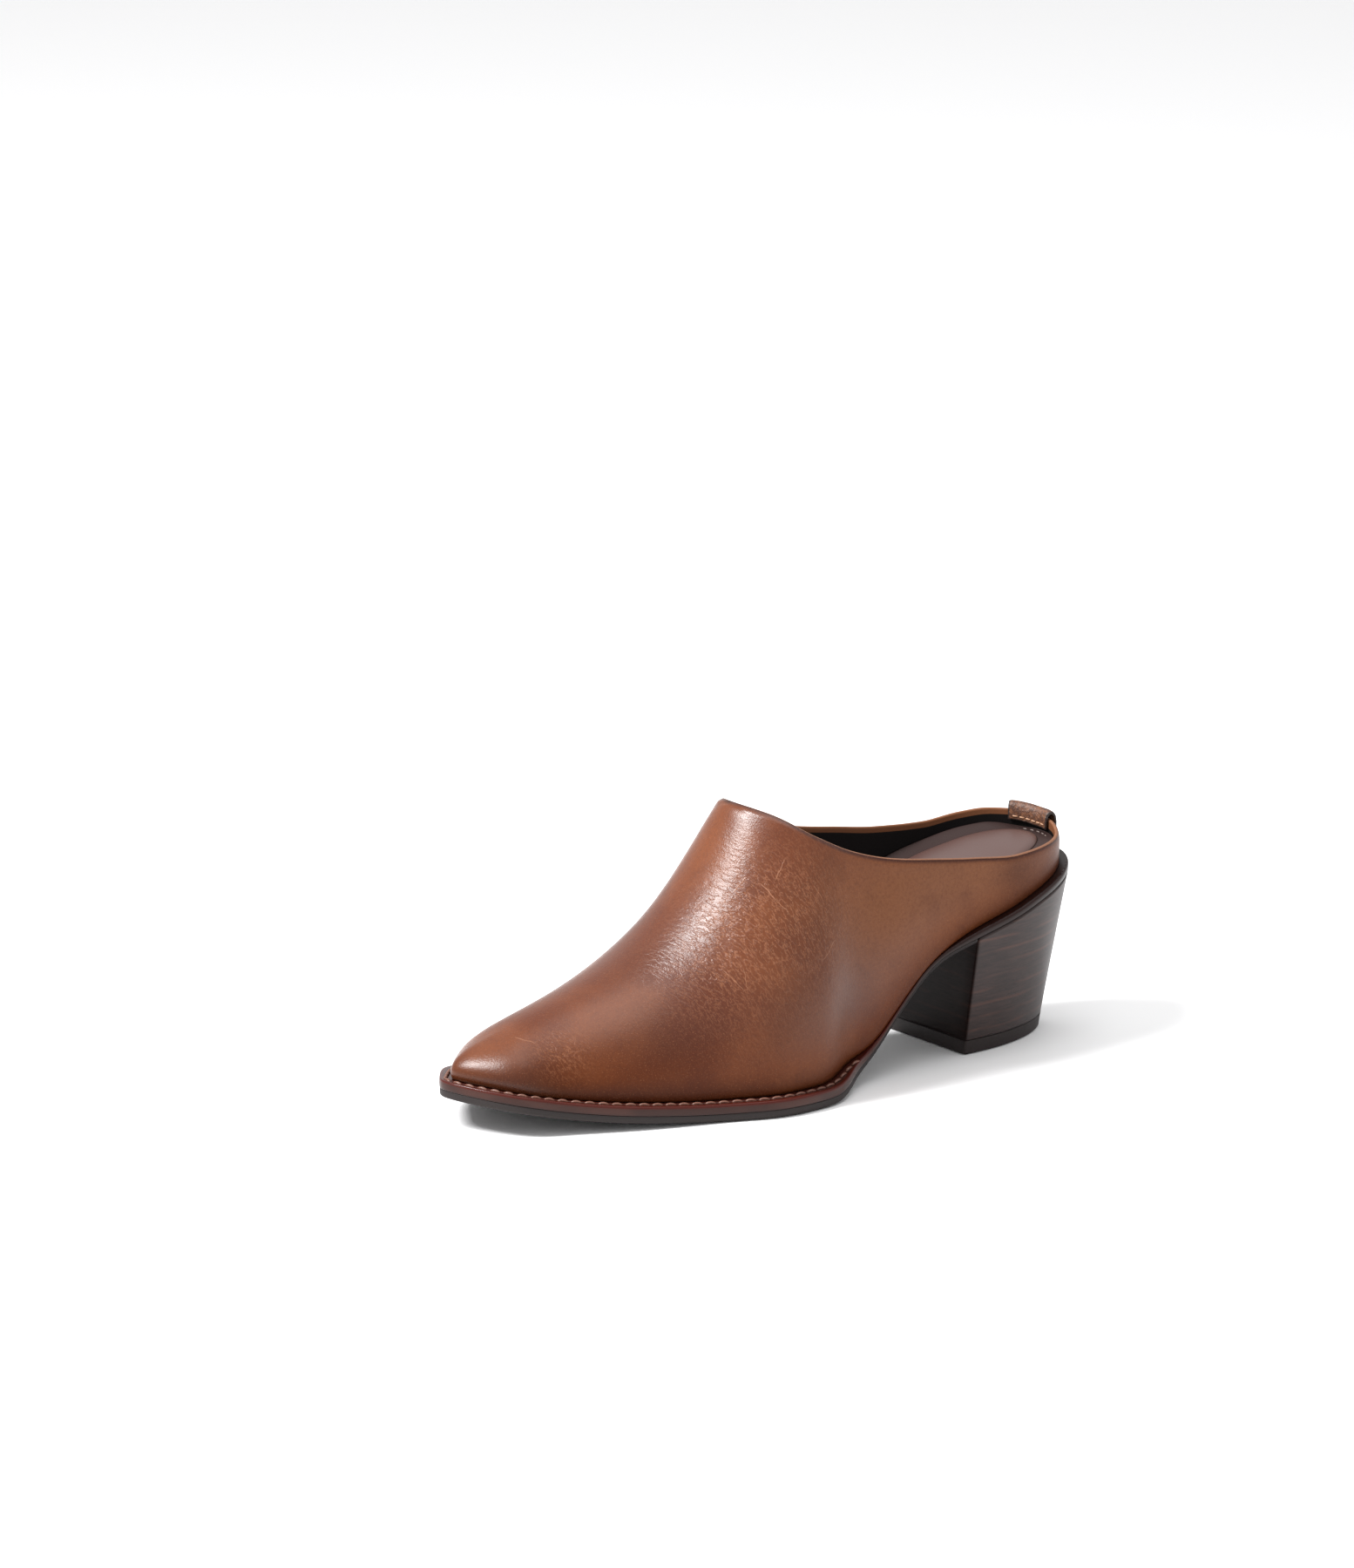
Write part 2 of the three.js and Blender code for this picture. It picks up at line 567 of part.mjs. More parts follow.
// The strip's section at v: a row of points next to the upper and one on the strip's other face
function tabSection(v, side) {
  const curve = sectionCurve(v, side);
  const cut = cutShare(curve, columnShare(v), side);
  const height = curve.getPoint(cut).z - curve.getPoint(0).z;
  const rest = 0.03;
  const steps = (from, to, count) => Array.from(
    { length: count },
    (_, i) => THREE.MathUtils.lerp(from, to, i / (count - 1)),
  );
  const shares = steps(TAB_FOOT / height, 1 - rest, 6);
  const down = steps(1 - rest, 1 - TAB_INSIDE / height, 4);
  const at = (share, out) => curve.getPoint(share * cut).addScaledVector(wallNormal(v, side, share), out);
  const near = GAP;
  const far = GAP + TAB_THICKNESS;
  const top = curve.getPoint(cut);
  const out = wallNormal(v, side, 0.99);
  const middle = top.clone().addScaledVector(out, -WALL / 2);
  const over = (width, lift) => {
    const turns = [150, 120, 90, 60, 30].map((angle) => THREE.MathUtils.degToRad(180 - angle));
    return turns.map((turn) => middle.clone()
      .addScaledVector(out, width * Math.cos(turn))
      .add(new THREE.Vector3(0, 0, lift * Math.sin(turn))));
  };
  return {
    other: [
      ...shares.map((share) => at(share, near)),
      ...over(WALL / 2 + near, TAB_LIFT - TAB_THICKNESS),
      ...down.map((share) => at(share, -WALL - near)),
    ],
    one: [
      ...shares.map((share) => at(share, far)),
      ...over(WALL / 2 + far, TAB_LIFT),
      ...down.map((share) => at(share, -WALL - far)),
    ],
  };
}

function leather(color, roughness) {
  return new THREE.MeshStandardMaterial({ color, roughness, metalness: 0 });
}

const pieces = [
  { name: 'upper', geometry: upper(), material: leather(0x7a4a2a, 0.45) },
  { name: 'back_tab', geometry: backTab(), material: leather(0x76482b, 0.5) },
  { name: 'insole', geometry: insole(), material: leather(0x33231f, 0.6) },
  { name: 'heel_pad', geometry: heelPad(), material: leather(0x3a2826, 0.35) },
  { name: 'midsole', geometry: midsole(), material: leather(0x3c1d14, 0.5) },
  { name: 'outsole', geometry: outsole(), material: leather(0x171414, 0.7) },
  { name: 'heel_block', geometry: heelBlock(), material: leather(0x2e1c18, 0.4) },
  { name: 'top_lift', geometry: topLift(), material: leather(0x1c1513, 0.6) },
];

const shoe = new THREE.Group();
for (const { name, geometry, material } of pieces) {
  const mesh = new THREE.Mesh(geometry, material);
  mesh.name = name;
  shoe.add(mesh);
}

// The frame's origin is the middle of the shoe's box, on the floor
const box = new THREE.Box3().setFromObject(shoe);
shoe.position.set(-(box.min.x + box.max.x) / 2, -(box.min.y + box.max.y) / 2, 0);

export default shoe;
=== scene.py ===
"""The look of the mule shoe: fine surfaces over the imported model, materials, camera and light.

Lengths in the tables and sizes are millimetres along the last, as in the model: x from the back
of the upper to the toe, y to the outer side, z up from the floor. place() turns them to metres.
"""

import math

import bpy
import numpy as np
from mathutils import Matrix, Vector


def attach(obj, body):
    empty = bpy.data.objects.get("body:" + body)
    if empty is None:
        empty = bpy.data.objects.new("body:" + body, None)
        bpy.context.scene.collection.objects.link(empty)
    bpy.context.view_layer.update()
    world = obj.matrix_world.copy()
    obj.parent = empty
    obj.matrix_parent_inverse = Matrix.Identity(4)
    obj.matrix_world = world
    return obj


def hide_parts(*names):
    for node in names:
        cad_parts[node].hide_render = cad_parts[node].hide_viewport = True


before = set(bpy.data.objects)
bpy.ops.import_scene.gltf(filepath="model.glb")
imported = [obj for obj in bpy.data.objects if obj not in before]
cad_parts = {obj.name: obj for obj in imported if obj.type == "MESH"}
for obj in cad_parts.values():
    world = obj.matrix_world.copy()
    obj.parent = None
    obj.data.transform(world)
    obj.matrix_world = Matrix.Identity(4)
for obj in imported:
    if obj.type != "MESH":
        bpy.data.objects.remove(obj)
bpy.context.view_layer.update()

# Sizes of the model
LAST_LENGTH = 240.0
BALL_WIDTH = 79.0
TOE_SWING = 10.5
HEEL_HEIGHT = 58.7
TOE_SPRING = 9.5
HEEL_ROUND = 38.5
TOE_ROUND = 14.5
THROAT = 0.552
THROAT_HEIGHT = 97.6
BACK_HEIGHT = 10.5
WALL = 1.8
GAP = 0.3
TAB_WIDTH = 17.5
TAB_OFFSET = 4.8
TAB_THICKNESS = 1.1
TAB_LIFT = 3.2
TAB_FOOT = 0.8
TAB_INSIDE = 3.1
INSOLE_THICKNESS = 2.4
INSOLE_CUSHION = 9.3
PAD_LENGTH = 64.0
PAD_WIDTH = 37.0
PAD_HEIGHT = 1.8
PAD_FROM_BACK = 7.0
PAD_MIDDLE = PAD_FROM_BACK + PAD_LENGTH / 2
MIDSOLE_THICKNESS = 3.3
MIDSOLE_BACK = 2.5
MIDSOLE_WAIST = 1.6
OUTSOLE_THICKNESS = 2.6
OUTSOLE_WAIST = 1.4
HEEL_LEDGE = 3.2
TOE_LEDGE = 5.4
SEAT_LENGTH = 52.0
HEEL_TIP_LENGTH = 47.4
HEEL_TIP_WIDTH = 44.0
HEEL_TIP_ROUND = 2.2
HEEL_TIP_FULL = 0.65
LIFT_THICKNESS = 4.6
SWING_FROM = 0.3
LEDGE_CHANGE = 0.32
ARCH_FROM = 0.2
ARCH_TO = 0.28
WAIST_FROM = 0.36
WAIST_TO = 0.48
SPREAD_FROM = 0.4
SPREAD_TO = 0.5
HEEL_FAN = 0.11
TOE_FAN = 0.86
FAN_SOFTNESS = 0.05
PLAN_EASE = 0.03
SECTION_EASE = 0.05
BACK_SHARE = 38 / 64  # of a side's columns lie behind the throat

# Sizes of the look alone
OUTSOLE_INSET = 0.15
JOINT = 0.06  # of glue between midsole and outsole
STITCH_FROM_WALL = 2.1  # middle of the welt's seam from the feather edge
STITCH_PITCH = 4.6
GROOVE_DEPTH = 0.45
WANDER = 0.0022  # of a scratch to its sides, in metres
STROKE_WIDTH = 0.00022  # of a scratch, in metres
CURL_REACH = 2.6  # below the top edge, where the collar is thinned and curled in
FOLDED_IN = 1.6  # by which the upper's leather is folded in below the top edge
LAYER_HEIGHT = 0.0047  # of the stacked leather, in metres
UPWARD = np.array([0.0, 0.0, 1.0])
RIM_LIFT = 0.35  # by which the cut edge is rounded up
TAB_UP_ROWS = 22
TAB_FOLD_ROWS = 13
TAB_DOWN_ROWS = 9
TAB_REST = 0.03  # of the wall's height, below the top edge, in which the tab turns over

# The model's tables, a row per place along the last
PLAN_ROWS = np.array([
    # along, lateral, medial, rise, spring, ledge
    (0.00, 0.335, 0.335, 1.000, 0.00, 1.00),
    (0.10, 0.335, 0.340, 0.890, 0.00, 1.00),
    (0.16, 0.337, 0.333, 0.803, 0.00, 1.00),
    (0.22, 0.342, 0.318, 0.728, 0.00, 0.80),
    (0.29, 0.348, 0.300, 0.582, 0.00, 0.07),
    (0.35, 0.367, 0.288, 0.350, 0.00, 0.05),
    (0.41, 0.386, 0.300, 0.105, 0.00, 0.21),
    (0.46, 0.427, 0.340, 0.053, 0.00, 0.72),
    (0.51, 0.526, 0.390, 0.000, 0.00, 0.98),
    (0.60, 0.566, 0.440, 0.000, 0.00, 1.00),
    (0.68, 0.497, 0.452, 0.000, 0.00, 1.00),
    (0.80, 0.408, 0.378, 0.000, 0.19, 1.00),
    (0.90, 0.303, 0.312, 0.000, 0.51, 1.00),
    (0.96, 0.248, 0.176, 0.000, 0.84, 0.95),
    (1.00, 0.134, 0.070, 0.000, 1.00, 0.75),
])
SECTION_ROWS = np.array([
    # way (0 back, 1 throat, 2 toe), crest, bulge, upright, shoulder
    (0.00, 0.760, 0.012, 0.50, 0.98),
    (0.27, 0.915, 0.055, 0.48, 1.00),
    (0.54, 1.140, 0.112, 0.42, 1.00),
    (0.76, 1.300, 0.100, 0.42, 0.80),
    (1.00, 1.000, 0.050, 0.45, 0.45),
    (1.13, 0.723, 0.047, 0.45, 0.55),
    (1.31, 0.508, 0.042, 0.45, 0.64),
    (1.55, 0.356, 0.038, 0.45, 0.54),
    (1.78, 0.228, 0.016, 0.45, 0.54),
    (2.00, 0.078, 0.036, 0.45, 0.60),
])
TOPLINE_ROWS = np.array([
    # way, outer side, inner side
    (0.00, 0.025, 0.025),
    (0.01, -0.008, 0.045),
    (0.035, -0.050, 0.064),
    (0.08, -0.060, 0.066),
    (0.15, -0.063, 0.020),
    (0.25, -0.066, -0.055),
    (0.40, 0.022, -0.003),
    (0.54, 0.129, 0.110),
    (0.69, 0.257, 0.250),
    (0.80, 0.424, 0.410),
    (0.89, 0.657, 0.650),
    (0.96, 0.905, 0.905),
    (1.00, 1.000, 1.000),
])
BED_ROWS = np.array([
    # along, share of the insole's cushion
    (0.00, 0.43),
    (0.04, 0.64),
    (0.08, 0.72),
    (0.12, 0.78),
    (0.19, 0.95),
    (0.25, 0.98),
    (0.32, 0.78),
    (0.40, 0.38),
    (0.50, 0.00),
    (1.00, 0.00),
])


def curve_of(xs, ys):
    """Smooth curve through a table's column: cubic pieces whose slopes are harmonic means."""
    steps = np.diff(ys) / np.diff(xs)
    slopes = np.concatenate([steps[:1], steps[:1].repeat(len(xs) - 2), steps[-1:]])
    before = steps[:-1]
    after = steps[1:]
    total = np.where(before + after == 0, 1, before + after)
    slopes[1:-1] = np.where(before * after <= 0, 0, 2 * before * after / total)

    def curve(x):
        x = np.asarray(x, float)
        i = np.clip(np.searchsorted(xs, x, side="right") - 1, 0, len(xs) - 2)
        h = xs[i + 1] - xs[i]
        t = (x - xs[i]) / h
        inside = (1 + 2 * t) * (1 - t) ** 2 * ys[i] + t * (1 - t) ** 2 * h * slopes[i]
        inside = inside + t * t * (3 - 2 * t) * ys[i + 1] + t * t * (t - 1) * h * slopes[i + 1]
        low = ys[0] + slopes[0] * (x - xs[0])
        high = ys[-1] + slopes[-1] * (x - xs[-1])
        return np.where(x < xs[0], low, np.where(x > xs[-1], high, inside))

    return curve


def eased(curve, reach):
    """The curve's weighted mean over nearby places."""
    weights = ((-2, 1), (-1, 2), (0, 3), (1, 2), (2, 1))
    return lambda x: sum(w * curve(np.asarray(x) + k * reach / 2) for k, w in weights) / 9


def by_throat(way):
    return np.where(way < 1, way * THROAT, THROAT + (way - 1) * (1 - THROAT))


way, *columns = PLAN_ROWS.T
plan = [eased(curve_of(way, column), PLAN_EASE) for column in columns]
lateral_half, medial_half, heel_rise, toe_spring, ledge_share = plan
way, *columns = SECTION_ROWS.T
sections = [eased(curve_of(by_throat(way), column), SECTION_EASE) for column in columns]
crest_share, bulge_share, upright_share, shoulder_share = sections
way, *columns = TOPLINE_ROWS.T
outer_climb, inner_climb = (curve_of(by_throat(way), column) for column in columns)
bed_fill = curve_of(*BED_ROWS.T)


def smooth_step(x, low, high):
    t = np.clip((np.asarray(x, float) - low) / (high - low), 0, 1)
    return t * t * (3 - 2 * t)


def unit(vectors):
    return vectors / np.maximum(np.linalg.norm(vectors, axis=-1), 1e-12)[..., None]


def raised(plan, height):
    """Points from their places in plan and their heights."""
    return np.concatenate([plan, np.broadcast_to(height, plan.shape[:-1])[..., None]], -1)


def halved(is_short, low, high):
    """The place between low and high where is_short turns false, by halving."""
    for _ in range(30):
        middle = (low + high) / 2
        short = is_short(middle)
        low = np.where(short, middle, low)
        high = np.where(short, high, middle)
    return low


def sole_top(x):
    """Height of the sole's top face: the heel's rise and the toe's spring over its thickness."""
    along = x / LAST_LENGTH
    thickness = MIDSOLE_THICKNESS + OUTSOLE_THICKNESS
    return thickness + heel_rise(along) * (HEEL_HEIGHT - thickness) + toe_spring(along) * TOE_SPRING


def centre_line(along):
    return -TOE_SWING * np.clip((along - SWING_FROM) / (1 - SWING_FROM), 0, 1) ** 1.5


def column_share(v):
    """Place along the last of column v, dense at the heel, the throat and the toe."""
    back = THROAT * (0.5 - 0.5 * np.cos(np.pi * np.minimum(v, BACK_SHARE) / BACK_SHARE))
    ahead = np.clip((v - BACK_SHARE) / (1 - BACK_SHARE), 0, 1)
    return np.where(v <= BACK_SHARE, back, THROAT + (1 - THROAT) * np.sin(np.pi / 2 * ahead))


def feather(v, side):
    """Feather edge in plan: the half width, rounded off at both ends, out from the centre line."""
    along = column_share(v)
    x = along * LAST_LENGTH
    to_heel = np.maximum(0, 1 - x / HEEL_ROUND)
    to_toe = np.maximum(0, 1 - (LAST_LENGTH - x) / TOE_ROUND)
    rounding = np.sqrt(1 - to_heel ** 2) * np.sqrt(1 - to_toe ** 2)
    half = np.where(side > 0, lateral_half(along), medial_half(along)) * BALL_WIDTH * rounding
    return np.stack([x, centre_line(along) + side * half], -1)


def feather_normal(v, side):
    step = 1e-3
    v = np.asarray(v, float)
    along = feather(np.minimum(v + step, 1), side) - feather(np.maximum(v - step, 0), side)
    side = np.broadcast_to(side, v.shape)
    normal = unit(np.stack([-along[..., 1] * side, along[..., 0] * side], -1))
    normal = np.where((v < step)[..., None], [-1.0, 0.0], normal)
    return np.where((v > 1 - step)[..., None], [1.0, 0.0], normal)


def ledge(v):
    along = column_share(v)
    return ledge_share(along) * np.where(along < LEDGE_CHANGE, HEEL_LEDGE, TOE_LEDGE)


def outline(v, side, offset):
    offset = np.broadcast_to(offset, np.shape(v))
    return feather(v, side) + feather_normal(v, side) * offset[..., None]


def fan_place(along):
    ahead = TOE_FAN + FAN_SOFTNESS * np.tanh((along - TOE_FAN) / FAN_SOFTNESS)
    return np.where(along < HEEL_FAN, HEEL_FAN, np.where(along <= TOE_FAN, along, ahead))


def crest_height(along):
    throat_rise = THROAT_HEIGHT - sole_top(THROAT * LAST_LENGTH)
    return sole_top(along * LAST_LENGTH) + crest_share(along) * throat_rise


def topline_height(along, side):
    back = HEEL_HEIGHT + BACK_HEIGHT
    along = np.minimum(along, THROAT)
    climb = np.where(np.asarray(side) > 0, outer_climb(along), inner_climb(along))
    return back + climb * (crest_height(THROAT) - back)


def section_points(v, side):
    """The four points of each column's cubic curve, from the feather edge to the crest."""
    along = column_share(v)
    edge = feather(v, side)
    out = feather_normal(v, side)
    spot = fan_place(along)
    centre = np.stack([spot * LAST_LENGTH, centre_line(spot)], -1)
    foot = sole_top(edge[..., 0]) + GAP
    top = crest_height(spot)
    slope = (crest_height(spot + 0.01) - crest_height(spot - 0.01)) / (0.02 * LAST_LENGTH)
    lean = (edge - centre) * shoulder_share(along)[..., None]
    forward = np.where(along > spot, lean[..., 0], 0)
    swing = edge + out * (bulge_share(along) * BALL_WIDTH)[..., None]
    heights = (foot, foot + upright_share(along) * (top - foot), top + slope * forward, top)
    places = (edge, swing, centre + lean, centre)
    return [raised(p, z) for p, z in zip(places, heights)]


def on_curve(points, t):
    t = np.asarray(t)[..., None]
    one = 1 - t
    return (points[0] * one ** 3 + points[1] * 3 * t * one ** 2
            + points[2] * 3 * t * t * one + points[3] * t ** 3)


def cut_share(points, along, side):
    """Where each column meets the top edge; 1 ahead of the throat."""
    limit = topline_height(along, side)
    cut = halved(lambda t: on_curve(points, t)[..., 2] < limit, 0 * along, 0 * along + 1)
    return np.where(along >= THROAT, 1.0, cut)


def wall_grid(v, side, shares):
    """Outer face at columns v and shares of the way up; rows crowd only towards the top edge."""
    points = section_points(v, side)
    cut = cut_share(points, column_share(v), side)[:, None]
    power = np.clip(0.8 / np.maximum(1 - cut, 1e-6), 1, 6)
    spread = [p[:, None, :] for p in points]
    return on_curve(spread, shares[None, :] - (1 - cut) * shares[None, :] ** power)


# Places in the row frame: the middle of the model's box in plan lies at the origin
sole_v = np.linspace(0, 1, 2001)
sole_plan = np.concatenate([outline(sole_v, s, ledge(sole_v)) for s in (1.0, -1.0)])
CENTRE = (sole_plan.min(0) + sole_plan.max(0)) / 2


def place(points):
    """Millimetres along the last to metres in the row frame."""
    points = np.asarray(points, float)
    return (points - [CENTRE[0], CENTRE[1], 0.0]) / 1000


def grid_quads(grid, wrap=False):
    """Corner numbers of the quads of a grid stored column by column."""
    columns, rows = grid.shape[:2]
    last = columns if wrap else columns - 1
    i = np.arange(last)[:, None]
    j = np.arange(rows - 1)[None, :]
    a = i * rows + j
    b = ((i + 1) % columns) * rows + j
    return np.stack([a, b, b + 1, a + 1], -1).reshape(-1, 4)


def merged(points, quads):
    """Equal points become one; returns the points, triangles, and each triangle's quad."""
    keys = np.round(points, 3) + 0.0
    _, first, index = np.unique(keys, axis=0, return_index=True, return_inverse=True)
    quads = index.reshape(-1)[quads]
    triangles = np.concatenate([quads[:, [0, 1, 2]], quads[:, [0, 2, 3]]])
    source = np.tile(np.arange(len(quads)), 2)
    a, b, c = triangles.T
    kept = (a != b) & (b != c) & (c != a)
    return first, triangles[kept], source[kept]


def added(name, data):
    """A new object of the data, in the scene."""
    item = bpy.data.objects.new(name, data)
    bpy.context.scene.collection.objects.link(item)
    return item


def make_piece(name, points, quads, materials, node=None, zones=None, values=None):
    """A closed smooth mesh from millimetre points; zones picks a material for each quad."""
    points = points.reshape(-1, 3)
    first, triangles, source = merged(points, quads)
    mesh = bpy.data.meshes.new(name)
    mesh.vertices.add(len(first))
    mesh.vertices.foreach_set("co", place(points[first]).astype(np.float32).ravel())
    mesh.loops.add(triangles.size)
    mesh.loops.foreach_set("vertex_index", triangles.astype(np.int32).ravel())
    mesh.polygons.add(len(triangles))
    mesh.polygons.foreach_set("loop_start", np.arange(0, triangles.size, 3, dtype=np.int32))
    for material in materials:
        mesh.materials.append(material)
    if zones is not None:
        mesh.polygons.foreach_set("material_index", zones[source].astype(np.int32))
    for key, numbers in (values or {}).items():
        layer = mesh.attributes.new(key, "FLOAT", "POINT")
        layer.data.foreach_set("value", numbers.ravel()[first].astype(np.float32))
    mesh.update(calc_edges=True)
    mesh.validate()
    mesh.shade_smooth()
    piece = added(name, mesh)
    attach(piece, "root")
    if node:
        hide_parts(node)
    return piece


class Look:
    """A material's nodes, added one at a time; inputs take a number, a colour or a socket."""

    def __init__(self, name):
        self.material = bpy.data.materials.new(name)
        self.material.use_nodes = True
        self.tree = self.material.node_tree
        self.shader = self.tree.nodes["Principled BSDF"]
        self.coords = self.add("ShaderNodeTexCoord").outputs["Object"]

    def set(self, node, key, value):
        socket = node.inputs[key]
        if isinstance(value, bpy.types.NodeSocket):
            self.tree.links.new(value, socket)
        else:
            socket.default_value = value

    def add(self, kind, inputs=None, **settings):
        node = self.tree.nodes.new(kind)
        for key, value in settings.items():
            setattr(node, key, value)
        for key, value in (inputs or {}).items():
            self.set(node, key, value)
        return node

    def surface(self, **inputs):
        for key, value in inputs.items():
            self.set(self.shader, key.replace("_", " "), value)

    def noise(self, size, detail=2.0, roughness=0.5, stretch=(1, 1, 1), turn=(0, 0, 0)):
        """Noise with features about size millimetres wide, longer where stretch is over 1."""
        scale = tuple(size * s / 1000 for s in stretch)
        mapped = self.add("ShaderNodeMapping", {"Vector": self.coords, "Rotation": turn, "Scale": scale},
                          vector_type="TEXTURE")
        node = self.add("ShaderNodeTexNoise", {
            "Vector": mapped.outputs[0], "Scale": 1.0, "Detail": detail, "Roughness": roughness,
        })
        return node.outputs[0]

    def value(self, name):
        return self.add("ShaderNodeAttribute", attribute_name=name).outputs["Fac"]

    def math(self, operation, a, b=0.0):
        return self.add("ShaderNodeMath", {0: a, 1: b}, operation=operation).outputs[0]

    def times(self, a, b):
        return self.math("MULTIPLY", a, b)

    def lines(self, fac, width):
        """1 along thin lines where the noise crosses its middle, 0 past the width."""
        away = self.math("ABSOLUTE", self.math("SUBTRACT", fac, 0.5))
        return self.ramp(away, width, 0.0)

    def way(self, start, direction):
        """How far each place lies from start in the direction, times the direction's length."""
        inputs = {0: self.coords, 1: tuple(direction)}
        reach = self.add("ShaderNodeVectorMath", inputs, operation="DOT_PRODUCT").outputs["Value"]
        return self.math("SUBTRACT", reach, float(start @ direction))

    def stroke(self, start, end, facing, wander):
        """1 on a thin line from start to end, moved by wander over leather that faces the given way."""
        start, end = place((start, end))
        along = end - start
        across = unit(np.cross(facing, along))
        share = self.way(start, along / (along @ along))
        away = self.way(start + across * WANDER / 2, across)
        away = self.math("ABSOLUTE", self.math("ADD", away, wander))
        line = self.times(self.ramp(away, STROKE_WIDTH, 0.0), self.ramp(share, 0.0, 0.2))
        return self.times(line, self.ramp(share, 1.0, 0.7))

    def ramp(self, fac, low, high):
        node = self.add("ShaderNodeMapRange", {"Value": fac, "From Min": low, "From Max": high},
                        interpolation_type="SMOOTHSTEP")
        return node.outputs[0]

    def mix(self, fac, a, b):
        return self.add("ShaderNodeMix", {"Factor": fac, 6: a, 7: b}, data_type="RGBA").outputs[2]

    def tint(self, base, share, strength, *tone):
        """The base colour mixed with a tone of 0 to 255 values, by the share times the strength."""
        fac = share if strength == 1 else self.times(share, strength)
        return self.mix(fac, base, colour(*tone))

    def bump(self, height, depth, normal=None):
        """Relief of the given depth in millimetres."""
        inputs = {"Height": height, "Distance": depth / 1000, "Strength": 1.0}
        if normal is not None:
            inputs["Normal"] = normal
        return self.add("ShaderNodeBump", inputs).outputs[0]


def colour(red, green, blue):
    """A colour seen as these 0 to 255 values, as a shader colour."""
    shares = [c / 255 for c in (red, green, blue)]
    linear = [c / 12.92 if c <= 0.04045 else ((c + 0.055) / 1.055) ** 2.4 for c in shares]
    return (*linear, 1.0)


def side_columns(ahead):
    """Columns of one side, from the heel to the toe."""
    behind = np.linspace(0, BACK_SHARE, 191)
    return np.concatenate([behind, np.linspace(BACK_SHARE, 1, ahead + 1)[1:]])


def both_sides(v):
    """Columns round the shoe: those of v on the outer side, then back on the inner side."""
    side = np.concatenate([np.ones(len(v)), -np.ones(len(v) - 1)])
    return np.concatenate([v, v[::-1][1:]]), side


def point_normals(points, quads):
    """Unit normal of each point: the sum of its faces' normals, shared by points at one place."""
    _, index = np.unique(np.round(points, 3) + 0.0, axis=0, return_inverse=True)
    index = index.reshape(-1)
    a, b, c, d = (points[quads[:, k]] for k in range(4))
    face = np.cross(c - a, d - b)
    total = np.zeros((index.max() + 1, 3))
    for k in range(4):
        np.add.at(total, index[quads[:, k]], face)
    return unit(total)[index]


def near_segment(points, start, end, width):
    """1 on the segment, falling to 0 past the width and towards its ends (a soft long dent)."""
    along = np.subtract(end, start)
    t = ((points - start) @ along) / (along @ along)
    away = np.linalg.norm(points - start - np.clip(t, 0, 1)[:, None] * along, axis=1)
    ends = smooth_step(t, -0.1, 0.25) * (1 - smooth_step(t, 0.75, 1.1))
    return np.exp(-((away / width) ** 2)) * ends


def near_spots(points, rows):
    """How much each point lies in the soft spots of the rows: centre, reach along x, y, z, strength."""
    total = 0
    for centre, reach, strength in rows:
        away = np.linalg.norm((points - centre) / reach, axis=1)
        total = total + strength * np.exp(-(away ** 2))
    return np.clip(total, 0, 1)


# Lighter, less polished places
DULL_ROWS = (
    ((60, 28, 66), (48, 20, 16), 1.0),
    ((95, 34, 52), (26, 20, 20), 0.6),
)
# Light scratches on the outer side: from, to, the way the leather faces there, and strength
SCRATCH_ROWS = (
    ((138, 20, 74), (131, 31, 62), (0.45, 0.75, 0.45), 0.9),
    ((128, 23, 81), (134, 24, 73), (0.47, 0.76, 0.45), 0.8),
    ((122, 29, 72), (119, 31, 66), (0.05, 0.95, 0.31), 0.7),
    ((140, 17, 75), (145, 15, 69), (0.70, 0.48, 0.53), 0.8),
    ((116, 34, 54), (125, 36, 46), (-0.13, 0.97, 0.19), 0.5),
    ((150, 28, 48), (151, 33, 40), (0.46, 0.77, 0.43), 0.7),
    ((156, 25, 48), (151, 33, 39), (0.50, 0.72, 0.47), 0.7),
    ((222, -2, 29), (217, 5, 27), (0.30, 0.40, 0.86), 0.7),
)
# Folds of the vamp, from and to in millimetres along the last: width, and depth (a ridge is below 0)
CREASE_ROWS = (
    ((150, 20, 62), (166, 34, 40), 3.0, 0.35),
    ((158, 18, 60), (173, 32, 38), 2.5, -0.20),
    ((214, 10, 28), (206, 18, 24), 1.6, 0.22),
)
# Places where fine wrinkles show
WRINKLE_ROWS = (
    ((150, 25, 55), (26, 22, 26), 1.0),
    ((128, 30, 66), (20, 18, 20), 0.7),
    ((213, 12, 26), (9, 9, 9), 0.9),
)
# Darker places
DARKER_SPOT_ROWS = (
    ((34, 30, 62), (9, 14, 7), 0.65),
    ((232, 2, 17), (10, 16, 6), 0.55),
    ((188, 28, 28), (36, 16, 16), 0.75),
    ((222, 12, 20), (20, 12, 9), 0.60),
    ((128, 36, 30), (24, 16, 16), 0.50),
    ((178, 5, 52), (14, 14, 10), 0.30),
)


